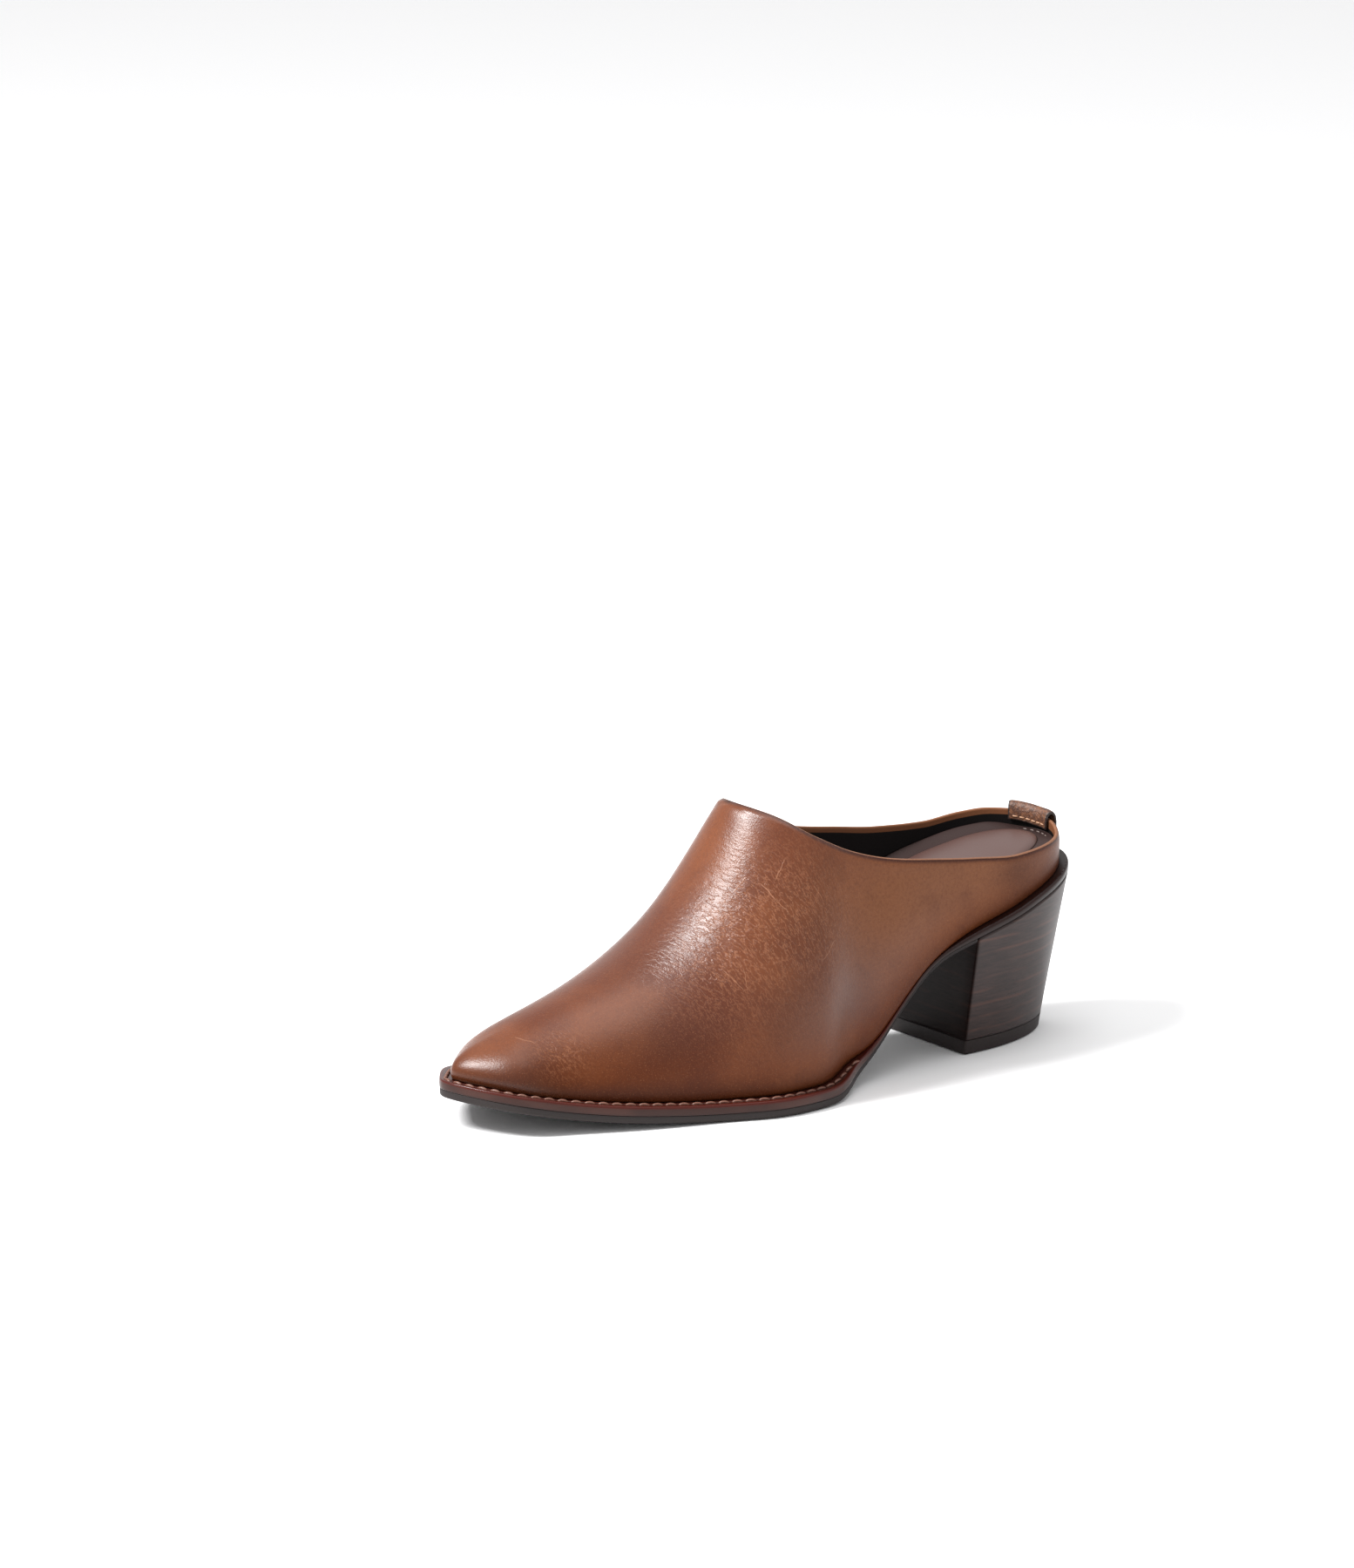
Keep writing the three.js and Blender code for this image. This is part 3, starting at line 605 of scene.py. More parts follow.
def build_upper(materials):
    """Outer face, the same face moved in by the wall, and a rounded cut edge between them."""
    v, side = both_sides(side_columns(125))
    outer = wall_grid(v, side, np.linspace(0, 1, 97))
    flat = outer.reshape(-1, 3)
    quads = grid_quads(outer)[:, ::-1]
    heading = point_normals(flat, quads).reshape(outer.shape)
    inner = outer - heading * WALL
    inner_edge = outline(v, side, -WALL)
    inner[:, 0] = raised(inner_edge, sole_top(inner_edge[:, 0]) + GAP)
    top_gap = topline_height(np.minimum(column_share(v), THROAT), side)[:, None] - outer[..., 2]
    open_column = column_share(v) <= THROAT
    calm = np.where(open_column[:, None], smooth_step(top_gap, 0, 6), 1.0).ravel()
    dent = sum(deep * near_segment(flat, a, b, width) for a, b, width, deep in CREASE_ROWS)
    depth = 0.45 + 0.5 * smooth_step(column_share(v), 0.40, THROAT)
    curl = depth[:, None] * np.clip(1 - top_gap / CURL_REACH, 0, 1) ** 2
    pushed = outer - heading * ((dent * calm).reshape(curl.shape) + curl)[..., None]

    rise = outer[:, -1] - outer[:, -2]
    throat = int(np.argmax(v >= BACK_SHARE))
    rise[throat] += rise[-1 - throat]
    rise[-1 - throat] = rise[throat]
    turns = np.linspace(0, 1, 8)[:, None]
    rim = pushed[:, -1:] * (1 - turns) + inner[:, -1:] * turns
    rim += unit(rise)[:, None] * RIM_LIFT * np.sin(np.pi * turns)
    foot = np.stack([outer[:, 0], inner[:, 0]], 1)

    leather, edge, lining = range(3)
    blocks = []
    zones = []
    start = 0
    grids = (pushed, inner[:, ::3], rim, foot)
    for grid, zone in zip(grids, (leather, lining, edge, lining)):
        count, high = grid.shape[:2]
        faces = grid_quads(grid)
        if zone == edge:
            faces = faces[(open_column[:-1] & open_column[1:]).repeat(high - 1)]
        mark = np.full(len(faces), zone)
        if zone == lining:
            blocks.append(faces + start)
        else:
            blocks.append(faces[:, ::-1] + start)
        if zone == edge:
            mark[np.arange(len(faces)) % (high - 1) == high - 2] = lining
        zones.append(mark)
        start += count * high
    points = np.concatenate([grid.reshape(-1, 3) for grid in grids])
    along = points[:, 0] / LAST_LENGTH
    on_side = points[:, 1] - centre_line(along)
    values = {
        "low": points[:, 2] - sole_top(points[:, 0]),
        "wrinkle": near_spots(points, WRINKLE_ROWS),
        "darker_spots": near_spots(points, DARKER_SPOT_ROWS),
        "from_top": topline_height(along, on_side) - points[:, 2],
        "dull": near_spots(points, DULL_ROWS),
        "outer_side": smooth_step(on_side, -8, 2),
        "tip": smooth_step(points[:, 0], 214, 232),
    }
    return make_piece("upper_leather_and_lining", points, np.concatenate(blocks), materials,
                      node="upper", zones=np.concatenate(zones), values=values)


def signed_columns(q):
    """Curve points of columns q, below 0 on the inner side, and where they meet the top edge."""
    side = np.where(q < 0, -1.0, 1.0)
    points = section_points(np.abs(q), side)
    return points, cut_share(points, column_share(np.abs(q)), side)


def wall_at(q, share):
    """Outer face at signed columns q and shares of the way up."""
    points, cut = signed_columns(q)
    return on_curve(points, cut * share)


def wall_normal(q, share):
    step = 2e-3
    across = wall_at(q + step, share) - wall_at(q - step, share)
    up = wall_at(q, np.minimum(share + step, 1)) - wall_at(q, share - step)
    return unit(np.cross(up, across))


def place_across(y):
    """Signed column near the heel whose feather edge lies at y."""
    side = -1.0 if y < 0 else 1.0
    return side * halved(lambda v: abs(feather(v, side)[1]) < abs(y), 0.0, 0.3)


def tab_grid(q, out):
    """The strip at columns q, out from the wall by out: up the outside, over, down the inside."""
    points, cut = signed_columns(q)
    top = on_curve(points, cut)
    height = top[:, 2] - points[0][:, 2]
    rows = []
    for t in np.linspace(0, 1, TAB_UP_ROWS):
        share = TAB_FOOT / height * (1 - t) + (1 - TAB_REST) * t
        rows.append(wall_at(q, share) + wall_normal(q, share) * out[:, None])
    fold = wall_normal(q, np.full(len(q), 0.99))
    middle = top - fold * WALL / 2
    lift = TAB_LIFT - TAB_THICKNESS + (out - GAP)
    for angle in np.radians(np.linspace(30, 150, TAB_FOLD_ROWS)):
        swing = fold * ((WALL / 2 + out) * math.cos(angle))[:, None]
        rows.append(middle + swing + np.outer(lift * math.sin(angle), [0, 0, 1]))
    for t in np.linspace(0, 1, TAB_DOWN_ROWS):
        share = (1 - TAB_REST) * (1 - t) + (1 - TAB_INSIDE / height) * t
        rows.append(wall_at(q, share) - wall_normal(q, share) * (WALL + out)[:, None])
    return np.stack(rows, 1)


def tab_columns(shares):
    """Signed columns at shares of the way across the tab."""
    first, last = (place_across(half - TAB_OFFSET) for half in (-TAB_WIDTH / 2, TAB_WIDTH / 2))
    return first + (last - first) * shares


def build_tab(material):
    """Two faces of the strip joined by raw edges; the corners are drawn in to round them."""
    ends = np.array([0, 0.012, 0.03, 0.055])
    shares = np.concatenate([ends, np.linspace(0.08, 0.92, 40), 1 - ends[::-1]])
    q = tab_columns(shares)
    margin = np.minimum(shares, 1 - shares)
    full = 0.62 + 0.38 * np.sqrt(smooth_step(margin, 0, 0.05))
    middle = GAP + TAB_THICKNESS / 2
    far = tab_grid(q, middle + full * TAB_THICKNESS / 2)
    near = tab_grid(q, middle - full * TAB_THICKNESS / 2)
    half = (far[:, -1:] + near[:, -1:]) / 2
    foot = (far[:, :1] + near[:, :1]) / 2
    section = np.concatenate([foot, far, half, near[:, ::-1], foot], 1)
    columns, rows = section.shape[:2]
    walls = grid_quads(section)
    strips = far.shape[1]
    i = np.arange(strips - 1) + 1
    cap = np.stack([i, rows - 1 - i, rows - 2 - i, i + 1], -1)
    cap = np.concatenate([cap, [[0, rows - 2, 1, 0], [strips, strips + 2, strips + 1, strips]]])
    caps = [cap[:, ::-1], cap + (columns - 1) * rows]
    raw = np.tile((1 - smooth_step(margin, 0.0, 0.06))[:, None], rows)
    raw[:, strips - 1:strips + 3] = 1
    return make_piece("back_tab_strip", section, np.concatenate([walls, *caps])[:, ::-1], [material],
                      node="back_tab", values={"raw": raw})


def plate_grid(v, side, profile, top, under, start=0.0):
    """A plate's section at each column, from the centre line round the edge and back below it.

    The profile's steps are pairs: inset from the ledge's edge, and drop below the top face.
    """
    rows = []
    for inset, drop in profile:
        places = outline(v, side, ledge(v) - inset)
        rows.append(raised(places, top(places[:, 0]) - drop))
    rows = np.stack(rows, 1)
    if start:
        rows[[0, -1], :, 0] = start
    x = np.clip(column_share(v) * LAST_LENGTH, 8, LAST_LENGTH - 8)
    centre = np.stack([np.maximum(x, start), centre_line(x / LAST_LENGTH)], -1)
    ends = [raised(centre, height(centre[:, 0]))[:, None] for height in (top, under)]
    return np.concatenate([ends[0], rows, ends[1]], 1)


def quarter(angles, reach):
    """Steps in and down round an edge of this radius, at angles in degrees from level."""
    return [(reach * (1 - math.cos(a)), reach * (1 - math.sin(a))) for a in np.radians(angles)]


def back_share(x):
    return 1 - smooth_step(x / LAST_LENGTH, WAIST_FROM, WAIST_TO)


def midsole_thickness(x):
    arch = smooth_step(x / LAST_LENGTH, ARCH_FROM, ARCH_TO)
    back = MIDSOLE_BACK + (MIDSOLE_WAIST - MIDSOLE_BACK) * arch
    return MIDSOLE_THICKNESS + (back - MIDSOLE_THICKNESS) * back_share(x)


def outsole_thickness(x):
    return OUTSOLE_THICKNESS + (OUTSOLE_WAIST - OUTSOLE_THICKNESS) * back_share(x)


def seam_inset(v):
    """How far the welt's seam runs in from the ledge's edge."""
    return np.maximum(ledge(v) - STITCH_FROM_WALL, 0.9)


def welt_groove(v):
    """Depth of the stitched groove: where the forefoot's ledge is wide enough."""
    return GROOVE_DEPTH * smooth_step(ledge(v), 2.2, 3.4) * smooth_step(column_share(v), 0.40, 0.46)


def build_midsole(material):
    """Plate round the whole shoe: ledge with its groove, rounded edges, side and under face."""
    v, side = both_sides(side_columns(150))
    edge = ledge(v)
    thick = midsole_thickness(column_share(v) * LAST_LENGTH)
    profile = [(edge + 3, 0 * edge), (edge + 0.2, 0 * edge)]
    for off, deep in ((0.85, 0.0), (0.6, 0.3), (0.3, 0.9), (0, 1.0), (-0.3, 0.9), (-0.6, 0.3), (-0.85, 0.0)):
        profile.append((seam_inset(v) + off, deep * welt_groove(v)))
    profile += quarter([90, 67, 45, 22, 0], np.minimum(0.55, edge * 0.4))
    insets, drops = zip(*profile)
    insets = [np.maximum(a, b) for a, b in zip(insets, insets[1:] + insets[-1:])]
    profile = list(zip(insets, drops))
    profile += [(0 * edge - 0.10 * math.sin(math.pi * t), thick * t) for t in (0.3, 0.5, 0.7)]
    profile += [(back + 0 * edge, thick - down) for back, down in quarter([0, 30, 60, 90], 0.3)]
    grid = plate_grid(v, side, profile, sole_top, lambda x: sole_top(x) - midsole_thickness(x))
    insets, drops = zip(*profile)
    heel = 1 - smooth_step(column_share(v), 0.30, 0.40)
    values = {
        "inset": np.stack([edge + 9, *insets, edge + 9], 1),
        "down": np.stack([0 * edge, *(drop / thick for drop in drops), 1 + 0 * edge], 1),
        "heel": heel.repeat(grid.shape[1]),
    }
    return make_piece("welt_and_midsole", grid, grid_quads(grid), [material], node="midsole",
                      values=values)


def build_outsole(material):
    """Plate from the heel's front face to the toe, with rounded edges."""
    v = side_columns(150)
    start = SEAT_LENGTH + GAP
    near = np.linspace(0, 1, 4001)
    first = np.interp(start, column_share(near) * LAST_LENGTH, near)
    v, side = both_sides(np.concatenate([[first], v[v > first]]))
    thick = outsole_thickness(column_share(v) * LAST_LENGTH) - JOINT
    edge = ledge(v)
    profile = [(edge + 3, 0)]
    profile += [(OUTSOLE_INSET + back, down) for back, down in quarter([90, 45, 0], 0.12)]
    profile += [(OUTSOLE_INSET, thick * t) for t in (0.35, 0.65)]
    low = quarter([0, 22, 45, 67, 90], np.minimum(0.7, thick * 0.45))
    profile += [(OUTSOLE_INSET + back, thick - down) for back, down in low]
    profile.append((edge + 3, thick))

    def top(x):
        return sole_top(x) - midsole_thickness(x) - JOINT

    grid = plate_grid(v, side, profile, top, lambda x: top(x) - outsole_thickness(x) + GAP, start)
    columns, rows = grid.shape[:2]
    i = np.arange(rows - 1)
    last = (columns - 1) * rows
    cap = np.stack([i, i + 1, last + i + 1, last + i], -1)
    return make_piece("outsole_edge_and_tread", grid, np.concatenate([grid_quads(grid), cap]), [material],
                      node="outsole")


def heel_plan(down):
    """The heel's outline at a level, front face and its two softened corners included."""
    v = np.linspace(0, 0.6, 1200)
    rows = []
    for side in (1.0, -1.0):
        places = outline(v, side, ledge(v))
        end = np.interp(SEAT_LENGTH, places[:, 0], np.arange(len(v)))
        index = np.linspace(0, 1, 70) ** 0.8 * end
        seat = np.stack([np.interp(index, np.arange(len(v)), places[:, k]) for k in (0, 1)], -1)
        share = np.clip((SEAT_LENGTH - seat[:, 0]) / (SEAT_LENGTH + HEEL_LEDGE), 0, 1)
        half = HEEL_TIP_WIDTH / 2 * (1 - share ** HEEL_TIP_ROUND) ** HEEL_TIP_FULL
        foot = np.stack([SEAT_LENGTH - share * HEEL_TIP_LENGTH, side * half], -1)
        rows.append((seat * (1 - down) + foot * down, seat[:, 0]))
    (lateral, lateral_x), (medial, medial_x) = rows
    corner_l, corner_m = lateral[-1], medial[-1]
    across = corner_m - corner_l
    width = np.linalg.norm(across)
    soft = 0.9
    plans = [lateral[:-2]]
    for corner, before, after in (
        (corner_l, lateral[-2] - corner_l, across),
        (corner_m, -across, medial[-2] - corner_m),
    ):
        one = corner + unit(before) * soft
        two = corner + unit(after) * soft
        t = np.linspace(0, 1, 5)[:, None]
        plans.append(one * (1 - t) ** 2 + corner * 2 * t * (1 - t) + two * t * t)
        if corner is corner_l:
            flat = np.linspace(soft / width, 1 - soft / width, 12)[1:-1, None]
            plans.append(corner_l + across * flat)
    plans = np.concatenate([*plans, medial[:-2][::-1]])
    front = np.full(len(plans) - 2 * len(medial[:-2]), SEAT_LENGTH)
    return plans, np.concatenate([lateral_x[:-2], front, medial_x[:-2][::-1]])


def heel_solid(name, levels, node, material):
    """Closed solid through levels of (share down, height at x), bottom first, with fan ends."""
    grid = []
    for down, height in levels:
        places, seat_x = heel_plan(down)
        grid.append(raised(places, height(seat_x)))
    grid = np.stack(grid, 1)
    low = np.broadcast_to(grid[:, 0].mean(0), grid[:, :1].shape)
    middle = grid[:, -1].mean(0)
    middle[2] = levels[-1][1](middle[:1])[0] - 0.3
    top = np.broadcast_to(middle, grid[:, :1].shape)
    section = np.concatenate([low, grid, top], 1)
    quads = grid_quads(section, wrap=True)[:, ::-1]
    # front is 1 on the breast face; the stacked heel's look paints shade there
    front = smooth_step(section[..., 0], SEAT_LENGTH - 0.8, SEAT_LENGTH - 0.2)
    return make_piece(name, section, quads, [material], node, values={"front": front})


def build_heel(material):
    taper = 1 - LIFT_THICKNESS / HEEL_HEIGHT
    foot = LIFT_THICKNESS + GAP

    def level(down):
        def height(x):
            top = sole_top(x) - midsole_thickness(x) - GAP
            return top + (foot - top) * down
        return down * taper, height

    return heel_solid("stacked_heel", [level(d) for d in np.linspace(1, 0, 40)], "heel_block",
                      material)


def build_lift(material):
    taper = LIFT_THICKNESS / HEEL_HEIGHT
    levels = []
    for t in (0.0, 0.06, 0.2, 0.5, 0.8, 0.94, 1.0):
        levels.append((1 - taper * t, lambda x, t=t: LIFT_THICKNESS * t + 0 * x))
    return heel_solid("heel_top_lift", levels, "top_lift", material)


def insole_top(x):
    return sole_top(x) + GAP + INSOLE_THICKNESS + INSOLE_CUSHION * bed_fill(x / LAST_LENGTH)


def wall_swing(v, side):
    """How far past the feather edge the wall has swung out at the height of the insole's top."""
    points = section_points(v, side)
    limit = insole_top(points[0][..., 0])
    share = halved(lambda t: on_curve(points, t)[..., 2] < limit, 0 * v, 0 * v + 0.5)
    away = on_curve(points, share)[..., :2] - points[0][..., :2]
    swing = (away * feather_normal(v, side)).sum(-1)
    return np.maximum(swing, 0) * (1 - smooth_step(column_share(v), SPREAD_FROM, SPREAD_TO))


def build_insole(material):
    """Sock: the insole's top with its edge turned up a little at the wall, and a flat under face."""
    v = np.linspace(0, 1, 200)
    across = np.sort(np.concatenate([np.linspace(0, 1, 50), [0.006, 0.012, 0.988, 0.994]]))

    def spread(lift):
        edges = [outline(v, s, lift * wall_swing(v, s) - WALL - GAP) for s in (1.0, -1.0)]
        return edges[0][:, None] * (1 - across)[:, None] + edges[1][:, None] * across[:, None]

    high = spread(1.0)
    low = spread(0.0)
    width = np.linalg.norm(high[:, 0] - high[:, -1], axis=1)[:, None]
    margin = np.minimum(across, 1 - across)[None, :] * width
    heel = 1 - smooth_step(high[..., 0] / LAST_LENGTH, 0.2, 0.45)
    behind = smooth_step(high[..., 0], 3, 14)
    curl = 0.5 * np.exp(-margin / 1.2) - 0.5 * np.exp(-(margin / 0.25) ** 2)
    curl = curl + 1.7 * heel * behind * np.exp(-((margin / 5.0) ** 2))
    top = raised(high, insole_top(high[..., 0]) + curl)
    under = raised(low, sole_top(low[..., 0]) + GAP)
    loop = np.concatenate([top, under[:, ::-1], top[:, :1]], 1)
    return make_piece("insole_sock", loop, grid_quads(loop)[:, ::-1], [material], node="insole")


def build_pad(material):
    """Padded oval: height rises from its edge as a quarter ellipse, then swells a little."""
    radii = np.concatenate([[0], np.linspace(0.15, 0.80, 14), np.linspace(0.82, 1, 16)])
    angles = np.linspace(0, 2 * np.pi, 121)
    r = radii[None, :]
    x = PAD_MIDDLE + PAD_LENGTH / 2 * r * np.cos(angles)[:, None]
    y = PAD_WIDTH / 2 * r * np.sin(angles)[:, None]
    edge = (1 - r) * PAD_WIDTH / 2
    rise = np.sqrt(1 - np.clip(1 - edge / 2.6, 0, 1) ** 2)
    swell = 0.9 * (1 - r ** 2)
    top = insole_top(x) + 0.06 + rise * PAD_HEIGHT * 0.75 + swell
    bottom = insole_top(x) + 0.06
    plan = np.stack([x, y], -1)
    loop = np.concatenate([raised(plan, bottom), raised(plan, top)[:, ::-1]], 1)
    pad = make_piece("heel_pad_cushion", loop, grid_quads(loop), [material], node="heel_pad")
    return pad


def threads(name, centres, along, out, length, radius, material):
    """Stitches: each a short thread of oval section, arched out of its hole and back into it."""
    along = unit(along)
    out = unit(out - (out * along).sum(1)[:, None] * along)
    across = np.cross(along, out)
    t = np.linspace(-1, 1, 9)
    angles = np.linspace(0, 2 * np.pi, 9)
    thin = np.sqrt(np.clip(1 - np.abs(t) ** 3, 0, 1))
    arch = 0.9 * radius * (1 - t ** 2) - 0.5 * radius
    ring_out = np.cos(angles)[None, :] * thin[:, None] * radius * 0.8 + arch[:, None]
    ring_across = np.sin(angles)[None, :] * thin[:, None] * radius
    points = (centres[:, None, None]
              + along[:, None, None] * (t[:, None] * length / 2)[None, :, :, None]
              + out[:, None, None] * ring_out[None, :, :, None]
              + across[:, None, None] * ring_across[None, :, :, None])
    starts = np.arange(len(centres)) * ring_out.size
    every = (grid_quads(ring_out)[None] + starts[:, None, None]).reshape(-1, 4)
    return make_piece(name, points, every[:, ::-1], [material])


def even_places(path, pitch):
    """Points every pitch millimetres along a polyline, and the directions there."""
    steps = np.linalg.norm(np.diff(path, axis=0), axis=1)
    length = np.concatenate([[0], np.cumsum(steps)])
    count = int(length[-1] // pitch)
    spots = (np.arange(count) + 0.5) * length[-1] / count

    def at(way):
        return np.stack([np.interp(way, length, path[:, k]) for k in range(3)], -1)

    return at(spots), at(spots + 0.2) - at(spots - 0.2)


def build_welt_stitches(material):
    """Lockstitch in the groove of the ledge, from waist to waist round the toe."""
    v = np.linspace(0, 1, 1500)
    v, side = both_sides(v[column_share(v) > 0.44])
    places = outline(v, side, ledge(v) - seam_inset(v))
    path = raised(places, sole_top(places[:, 0]) - 0.30 * welt_groove(v))
    centres, along = even_places(path, STITCH_PITCH)
    outward = np.stack([along[:, 1], -along[:, 0], 0 * along[:, 0]], -1)
    along = unit(along) + 0.16 * unit(outward)
    return threads("welt_stitches", centres, along, UPWARD, 4.3, 0.62, material)


def build_tab_stitches(material):
    """Short seam across the strip's inner flap."""
    q = tab_columns(np.linspace(0.14, 0.86, 6))
    out = np.full(len(q), GAP + TAB_THICKNESS)
    row = TAB_UP_ROWS + TAB_FOLD_ROWS + TAB_DOWN_ROWS // 2
    centres = tab_grid(q, out)[:, row]
    nearby = tab_grid(q + 2e-3, out)[:, row]
    normal = -wall_normal(q, np.full(len(q), 0.8))
    return threads("tab_stitches", centres, nearby - centres, normal, 2.3, 0.30, material)


def build_pad_stitches(material):
    """Seam in the sock round the pad, a few millimetres outside it."""
    angles = np.linspace(0, 2 * np.pi, 400)
    x = PAD_MIDDLE + (PAD_LENGTH / 2 + 3.2) * np.cos(angles)
    y = (PAD_WIDTH / 2 + 3.2) * np.sin(angles)
    path = np.stack([x, y, insole_top(x) + 0.02], -1)
    centres, along = even_places(path, 2.9)
    return threads("pad_stitches", centres, along, UPWARD, 1.9, 0.20, material)


def leather_look():
    """Smooth waxed leather: cloudy browns, darker near the sole and in a few spots, fine grain, and wrinkles
    with a painted highlight along their edges.
    """
    look = Look("upper_leather")
    cloud = look.noise(34, 3)
    patch = look.noise(11, 3, 0.55)
    fine = look.noise(1.1, 4, 0.65)
    grain = look.noise(0.45, 2, 0.6)
    base = look.mix(look.ramp(cloud, 0.36, 0.66), colour(87, 40, 17), colour(107, 56, 27))
    base = look.tint(base, look.value("dull"), 0.85, 118, 74, 48)
    base = look.tint(base, look.ramp(patch, 0.5, 0.8), 0.30, 72, 32, 16)
    base = look.tint(base, look.ramp(fine, 0.40, 0.75), 0.30, 66, 33, 20)
    # Darker towards the sole over its last 10 millimetres, and in the darker spots
    base = look.tint(base, look.ramp(look.value("low"), 10.0, 0.0), 0.5, 56, 24, 11)
    base = look.tint(base, look.value("darker_spots"), 0.8, 54, 22, 11)
    base = look.tint(base, look.ramp(look.value("from_top"), 1.6, 0.2), 1, 62, 31, 22)
    wrinkle_noise = look.noise(1.0, 3, 0.6, stretch=(1.0, 3.6, 3.6), turn=(0.0, 0.25, 0.2))
    wrinkle = look.times(look.ramp(wrinkle_noise, 0.42, 0.62), look.value("wrinkle"))
    # Painted highlight: the wrinkles' edges are drawn as lighter lines, where their ridges catch the light
    edge = look.times(look.lines(wrinkle_noise, 0.045), look.value("wrinkle"))
    base = look.tint(base, edge, 0.5, 150, 98, 68)
    base = look.tint(base, look.ramp(grain, 0.55, 0.75), 0.28, 140, 90, 60)
    wander = look.times(look.noise(4.0, 3, 0.6), WANDER)
    scratch = 0.0
    for start, end, facing, strength in SCRATCH_ROWS:
        mark = look.times(look.stroke(start, end, facing, wander), strength)
        scratch = look.math("MAXIMUM", scratch, mark)
    scratch = look.times(scratch, look.value("outer_side"))
    base = look.tint(base, scratch, 0.6, 168, 118, 88)
    normal = look.bump(grain, 0.05)
    normal = look.bump(fine, 0.06, normal)
    normal = look.bump(wrinkle, 0.13, normal)
    normal = look.bump(scratch, 0.05, normal)
    gloss = look.times(look.value("dull"), 0.16)
    rough = look.math("ADD", look.math("ADD", 0.30, gloss), look.times(fine, 0.12))
    look.surface(Base_Color=base, Roughness=rough, Normal=normal)
    coat = look.math("SUBTRACT", 0.65, look.times(look.value("dull"), 0.55))
    coat = look.times(coat, look.ramp(look.value("low"), 2.0, 30.0))
    coat = look.math("ADD", coat, look.times(look.value("tip"), 0.4))
    look.surface(Specular_IOR_Level=0.10, Coat_Weight=coat, Coat_Roughness=0.27, Coat_Normal=normal)
    return look.material


def edge_look():
    look = Look("cut_edge")
    fibres = look.noise(0.5, 3, 0.6)
    look.surface(Base_Color=look.mix(fibres, colour(96, 58, 38), colour(146, 98, 68)))
    look.surface(Roughness=0.6, Normal=look.bump(fibres, 0.08))
    return look.material


def lining_look():
    """Black, under a brown band where the upper's leather is folded in over the top edge."""
    look = Look("black_lining")
    grain = look.noise(0.7, 3, 0.6)
    folded = look.ramp(look.value("from_top"), FOLDED_IN + 0.3, FOLDED_IN)
    base = look.mix(folded, colour(17, 14, 14), colour(114, 72, 48))
    look.surface(Base_Color=base, Roughness=0.55, Normal=look.bump(grain, 0.05))
    look.surface(Specular_IOR_Level=0.12)
    return look.material


def tab_look():
    """The upper's leather, with dark raw edges."""
    look = Look("tab_leather")
    fine = look.noise(1.1, 3, 0.6)
    patchy = look.noise(2.4, 3, 0.65)
    base = look.mix(look.ramp(fine, 0.35, 0.65), colour(118, 76, 50), colour(74, 43, 29))
    base = look.tint(base, look.ramp(patchy, 0.45, 0.65), 0.5, 58, 34, 25)
    base = look.tint(base, look.ramp(look.value("raw"), 0.35, 0.85), 1, 42, 26, 20)
    look.surface(Base_Color=base, Roughness=0.5, Normal=look.bump(patchy, 0.5, look.bump(fine, 0.3)))
    return look.material


def plain_look(name, tone, grain, detail, depth, **surface):
    """One colour, with a grain as wide as grain and as deep as depth in millimetres."""
    look = Look(name)
    relief = look.noise(grain, detail, 0.6)
    look.surface(Base_Color=colour(*tone), Normal=look.bump(relief, depth), **surface)
    return look.material


def sock_look(name, tone, roughness, coat):
    return plain_look(name, tone, 0.8, 3, 0.03, Roughness=roughness, Specular_IOR_Level=0.25,
                      Coat_Weight=coat, Coat_Roughness=0.3)


def welt_look():
    """Polished edge in reddish dark brown, darker at the heel and in the groove."""
    look = Look("welt_leather")
    streak = look.noise(1.2, 3, 0.6, stretch=(8, 8, 0.5))
    cloud = look.noise(14, 2)
    base = look.mix(look.ramp(cloud, 0.35, 0.65), colour(52, 25, 18), colour(66, 35, 27))
    base = look.tint(base, streak, 0.35, 32, 16, 13)
    down = look.value("down")
    base = look.tint(base, look.ramp(down, 0.34, 0.16), 0.85, 70, 20, 12)
    base = look.tint(base, look.ramp(look.value("inset"), 0.9, 1.6), 0.6, 40, 20, 15)
    base = look.tint(base, look.ramp(down, 0.75, 0.95), 0.5, 34, 20, 18)
    base = look.tint(base, look.value("heel"), 0.8, 24, 14, 12)
    look.surface(Base_Color=base, Roughness=0.34, Normal=look.bump(streak, 0.05))
    look.surface(Specular_IOR_Level=0.15, Coat_Weight=0.2, Coat_Roughness=0.15)
    return look.material


def rubber_look(name, tone):
    return plain_look(name, tone, 0.6, 2, 0.04, Roughness=0.6, Specular_IOR_Level=0.3)


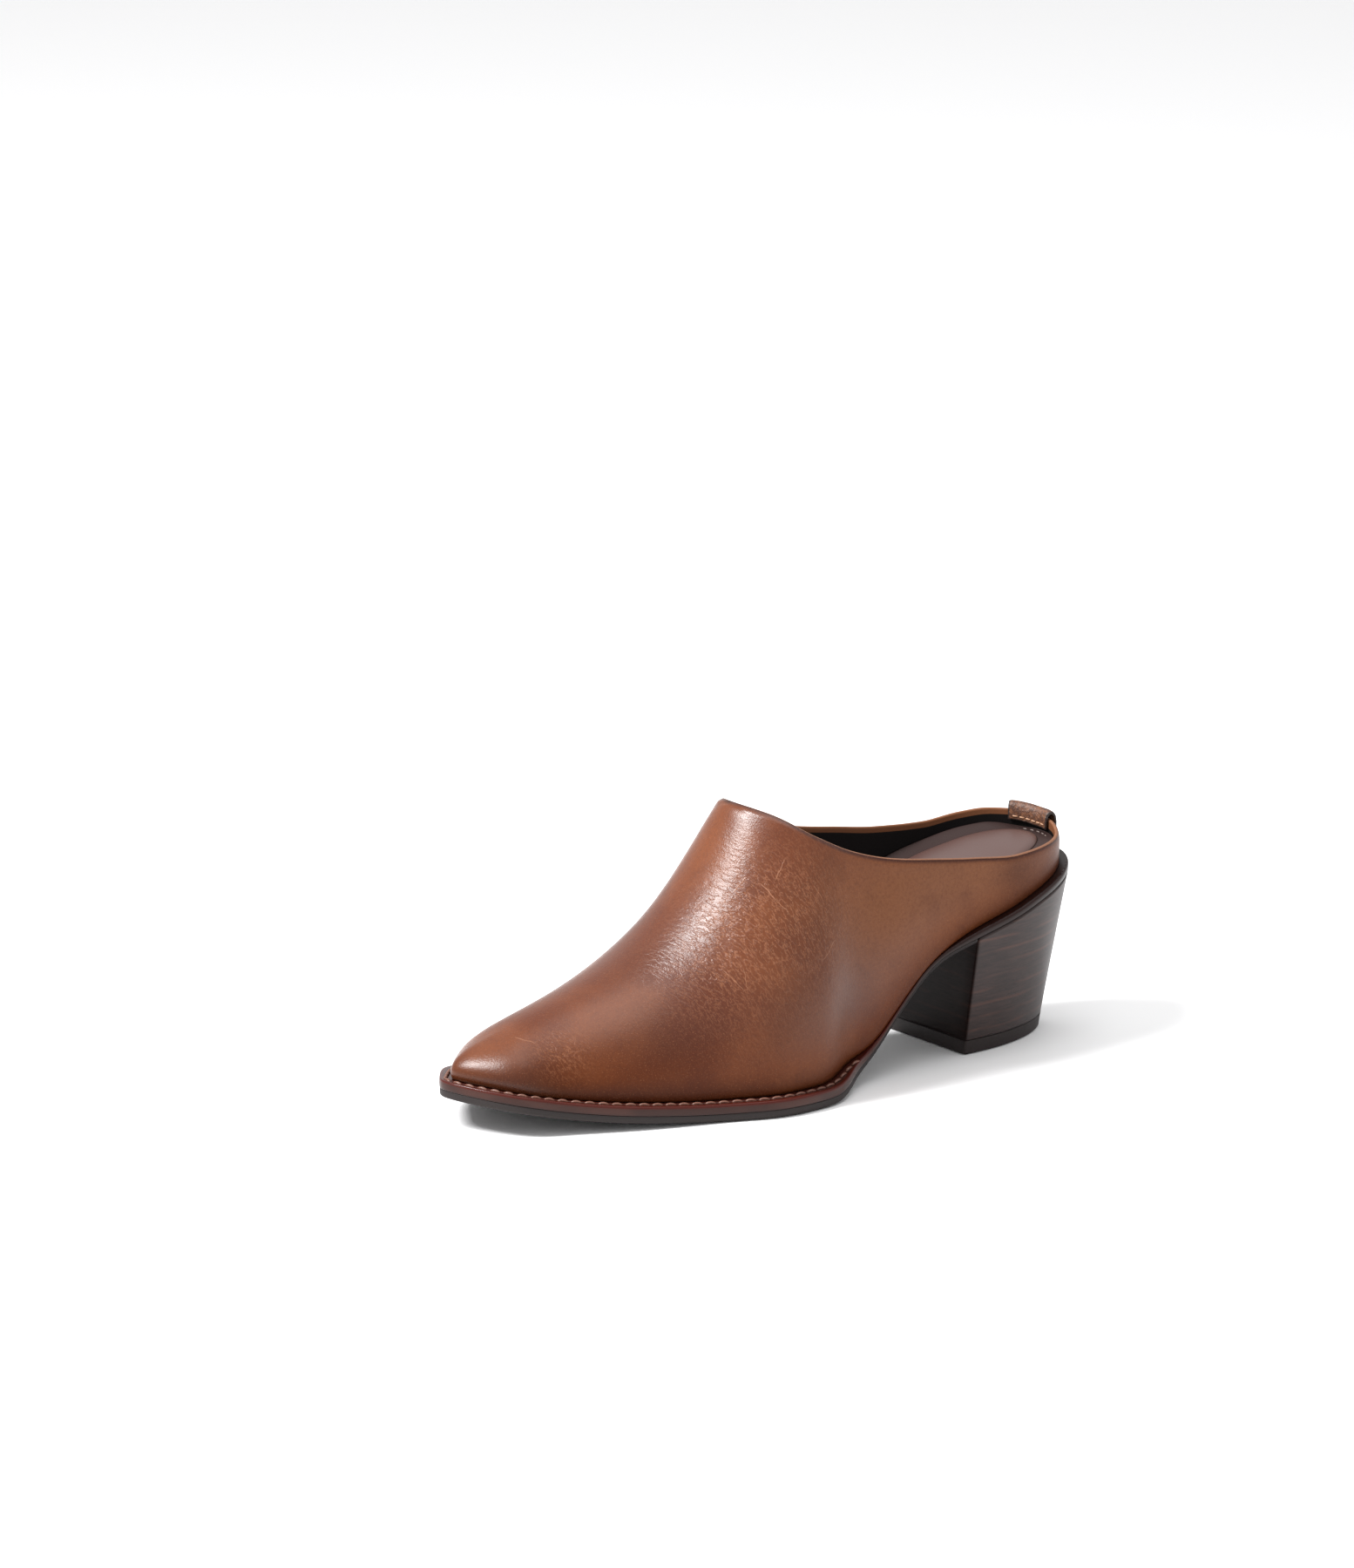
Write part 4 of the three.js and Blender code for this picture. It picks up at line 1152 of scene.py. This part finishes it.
def stack_look():
    """Stacked leather: level layers under five millimetres high, uneven, with fine streaks, and painted
    shade on the breast face.
    """
    look = Look("stacked_heel")
    split = look.add("ShaderNodeSeparateXYZ", {"Vector": look.coords})
    wander = look.noise(38, 2)
    height = look.math("ADD", split.outputs["Z"], look.times(wander, 0.0022))
    layer = look.math("FRACT", look.times(height, 1 / LAYER_HEIGHT))
    edge = look.ramp(look.math("ABSOLUTE", look.math("SUBTRACT", layer, 0.5)), 0.30, 0.5)
    streak = look.noise(1.0, 4, 0.65, stretch=(10, 10, 0.9))
    speck = look.noise(0.5, 2, 0.6)
    cloud = look.noise(7, 2, 0.5, stretch=(2.5, 2.5, 0.6))
    base = look.mix(look.ramp(streak, 0.3, 0.7), colour(32, 20, 18), colour(50, 33, 30))
    base = look.tint(base, look.ramp(speck, 0.45, 0.8), 0.35, 18, 12, 11)
    warm = look.times(edge, look.ramp(cloud, 0.34, 0.60))
    base = look.tint(base, warm, 0.6, 78, 48, 39)
    # Painted shade on the breast face, where front is 1: darker colour and less specular
    front = look.value("front")
    base = look.tint(base, front, 0.7, 14, 9, 8)
    look.surface(Base_Color=base, Roughness=0.42, Normal=look.bump(streak, 0.05))
    look.surface(Specular_IOR_Level=look.math("SUBTRACT", 0.35, look.times(front, 0.30)))
    return look.material


def thread_look(name, tone):
    return plain_look(name, tone, 0.5, 2, 0.08, Roughness=0.4)


build_upper([leather_look(), edge_look(), lining_look()])
build_tab(tab_look())
build_midsole(welt_look())
build_outsole(rubber_look("outsole_rubber", (38, 31, 30)))
build_heel(stack_look())
build_lift(rubber_look("lift_rubber", (34, 25, 24)))
build_insole(sock_look("sock_leather", (46, 32, 30), 0.5, 0.0))
build_pad(sock_look("pad_leather", (80, 57, 52), 0.34, 0.35))
build_welt_stitches(thread_look("welt_thread", (104, 66, 52)))
build_tab_stitches(thread_look("tab_thread", (176, 134, 104)))
# Painted highlight: the sock thread's tone is raised well above a dark thread's, to stand in for its glints
build_pad_stitches(thread_look("sock_thread_painted_glints", (128, 115, 109)))

# Camera: fitted to the photo, aimed so that the shoe's middle falls where it does there
CAMERA_DOWN = math.radians(15.888)
CAMERA_TURN = math.radians(36.926)
FOCAL_PIXELS = 14000.0
PHOTO_WIDTH = 1554
PHOTO_HEIGHT = 1800
PIXELS_PER_MM = 3.425
MIDDLE_U = 876.93
MIDDLE_V = 1231.48


def make_camera():
    target = Vector(place([120.0, 0.0, 0.0]))
    away = Vector((
        math.sin(CAMERA_TURN) * math.cos(CAMERA_DOWN),
        math.cos(CAMERA_TURN) * math.cos(CAMERA_DOWN),
        math.sin(CAMERA_DOWN),
    ))
    right = Vector((-math.cos(CAMERA_TURN), math.sin(CAMERA_TURN), 0))
    up = away.cross(right)
    to_right = MIDDLE_U - PHOTO_WIDTH / 2
    to_low = MIDDLE_V - PHOTO_HEIGHT / 2
    forward = -away * FOCAL_PIXELS - right * to_right + up * to_low
    data = bpy.data.cameras.new("camera")
    data.sensor_width = 36
    data.lens = FOCAL_PIXELS * data.sensor_width / PHOTO_HEIGHT
    data.clip_start = 0.1
    data.clip_end = 50
    camera = added("camera", data)
    camera.location = target + away * (FOCAL_PIXELS / PIXELS_PER_MM / 1000)
    camera.rotation_mode = "QUATERNION"
    camera.rotation_quaternion = forward.to_track_quat("-Z", "Y")
    bpy.context.scene.camera = camera


def make_light(name, at, aim, size, power):
    data = bpy.data.lights.new(name, "AREA")
    data.shape = "RECTANGLE"
    data.size, data.size_y = size
    data.energy = power
    light = added(name, data)
    light.location = at
    light.rotation_mode = "QUATERNION"
    light.rotation_quaternion = (Vector(aim) - Vector(at)).to_track_quat("-Z", "Y")


def make_stage():
    """A plain pale floor that reaches past the frame."""
    bpy.ops.mesh.primitive_plane_add(size=60, location=(0, 0, -0.0004))
    floor = bpy.context.object
    floor.name = "floor"
    material = bpy.data.materials.new("floor")
    material.use_nodes = True
    inputs = material.node_tree.nodes["Principled BSDF"].inputs
    inputs["Base Color"].default_value = (0.96, 0.96, 0.965, 1)
    inputs["Roughness"].default_value = 0.6
    inputs["Specular IOR Level"].default_value = 0.1
    floor.data.materials.append(material)


make_camera()
make_stage()
make_light("key_softbox", (0.99, -0.35, 1.28), (0.02, 0, 0.05), (0.32, 0.62), 40)
make_light("top_softbox", (-0.1, 0.1, 1.5), (0, 0, 0.02), (1.2, 1.0), 8)
world = bpy.data.worlds.new("world")
world.use_nodes = True
sky = world.node_tree.nodes["Background"].inputs
sky["Color"].default_value = (1, 1, 1, 1)
sky["Strength"].default_value = 0.74
bpy.context.scene.world = world
bpy.context.scene.view_settings.view_transform = "Standard"
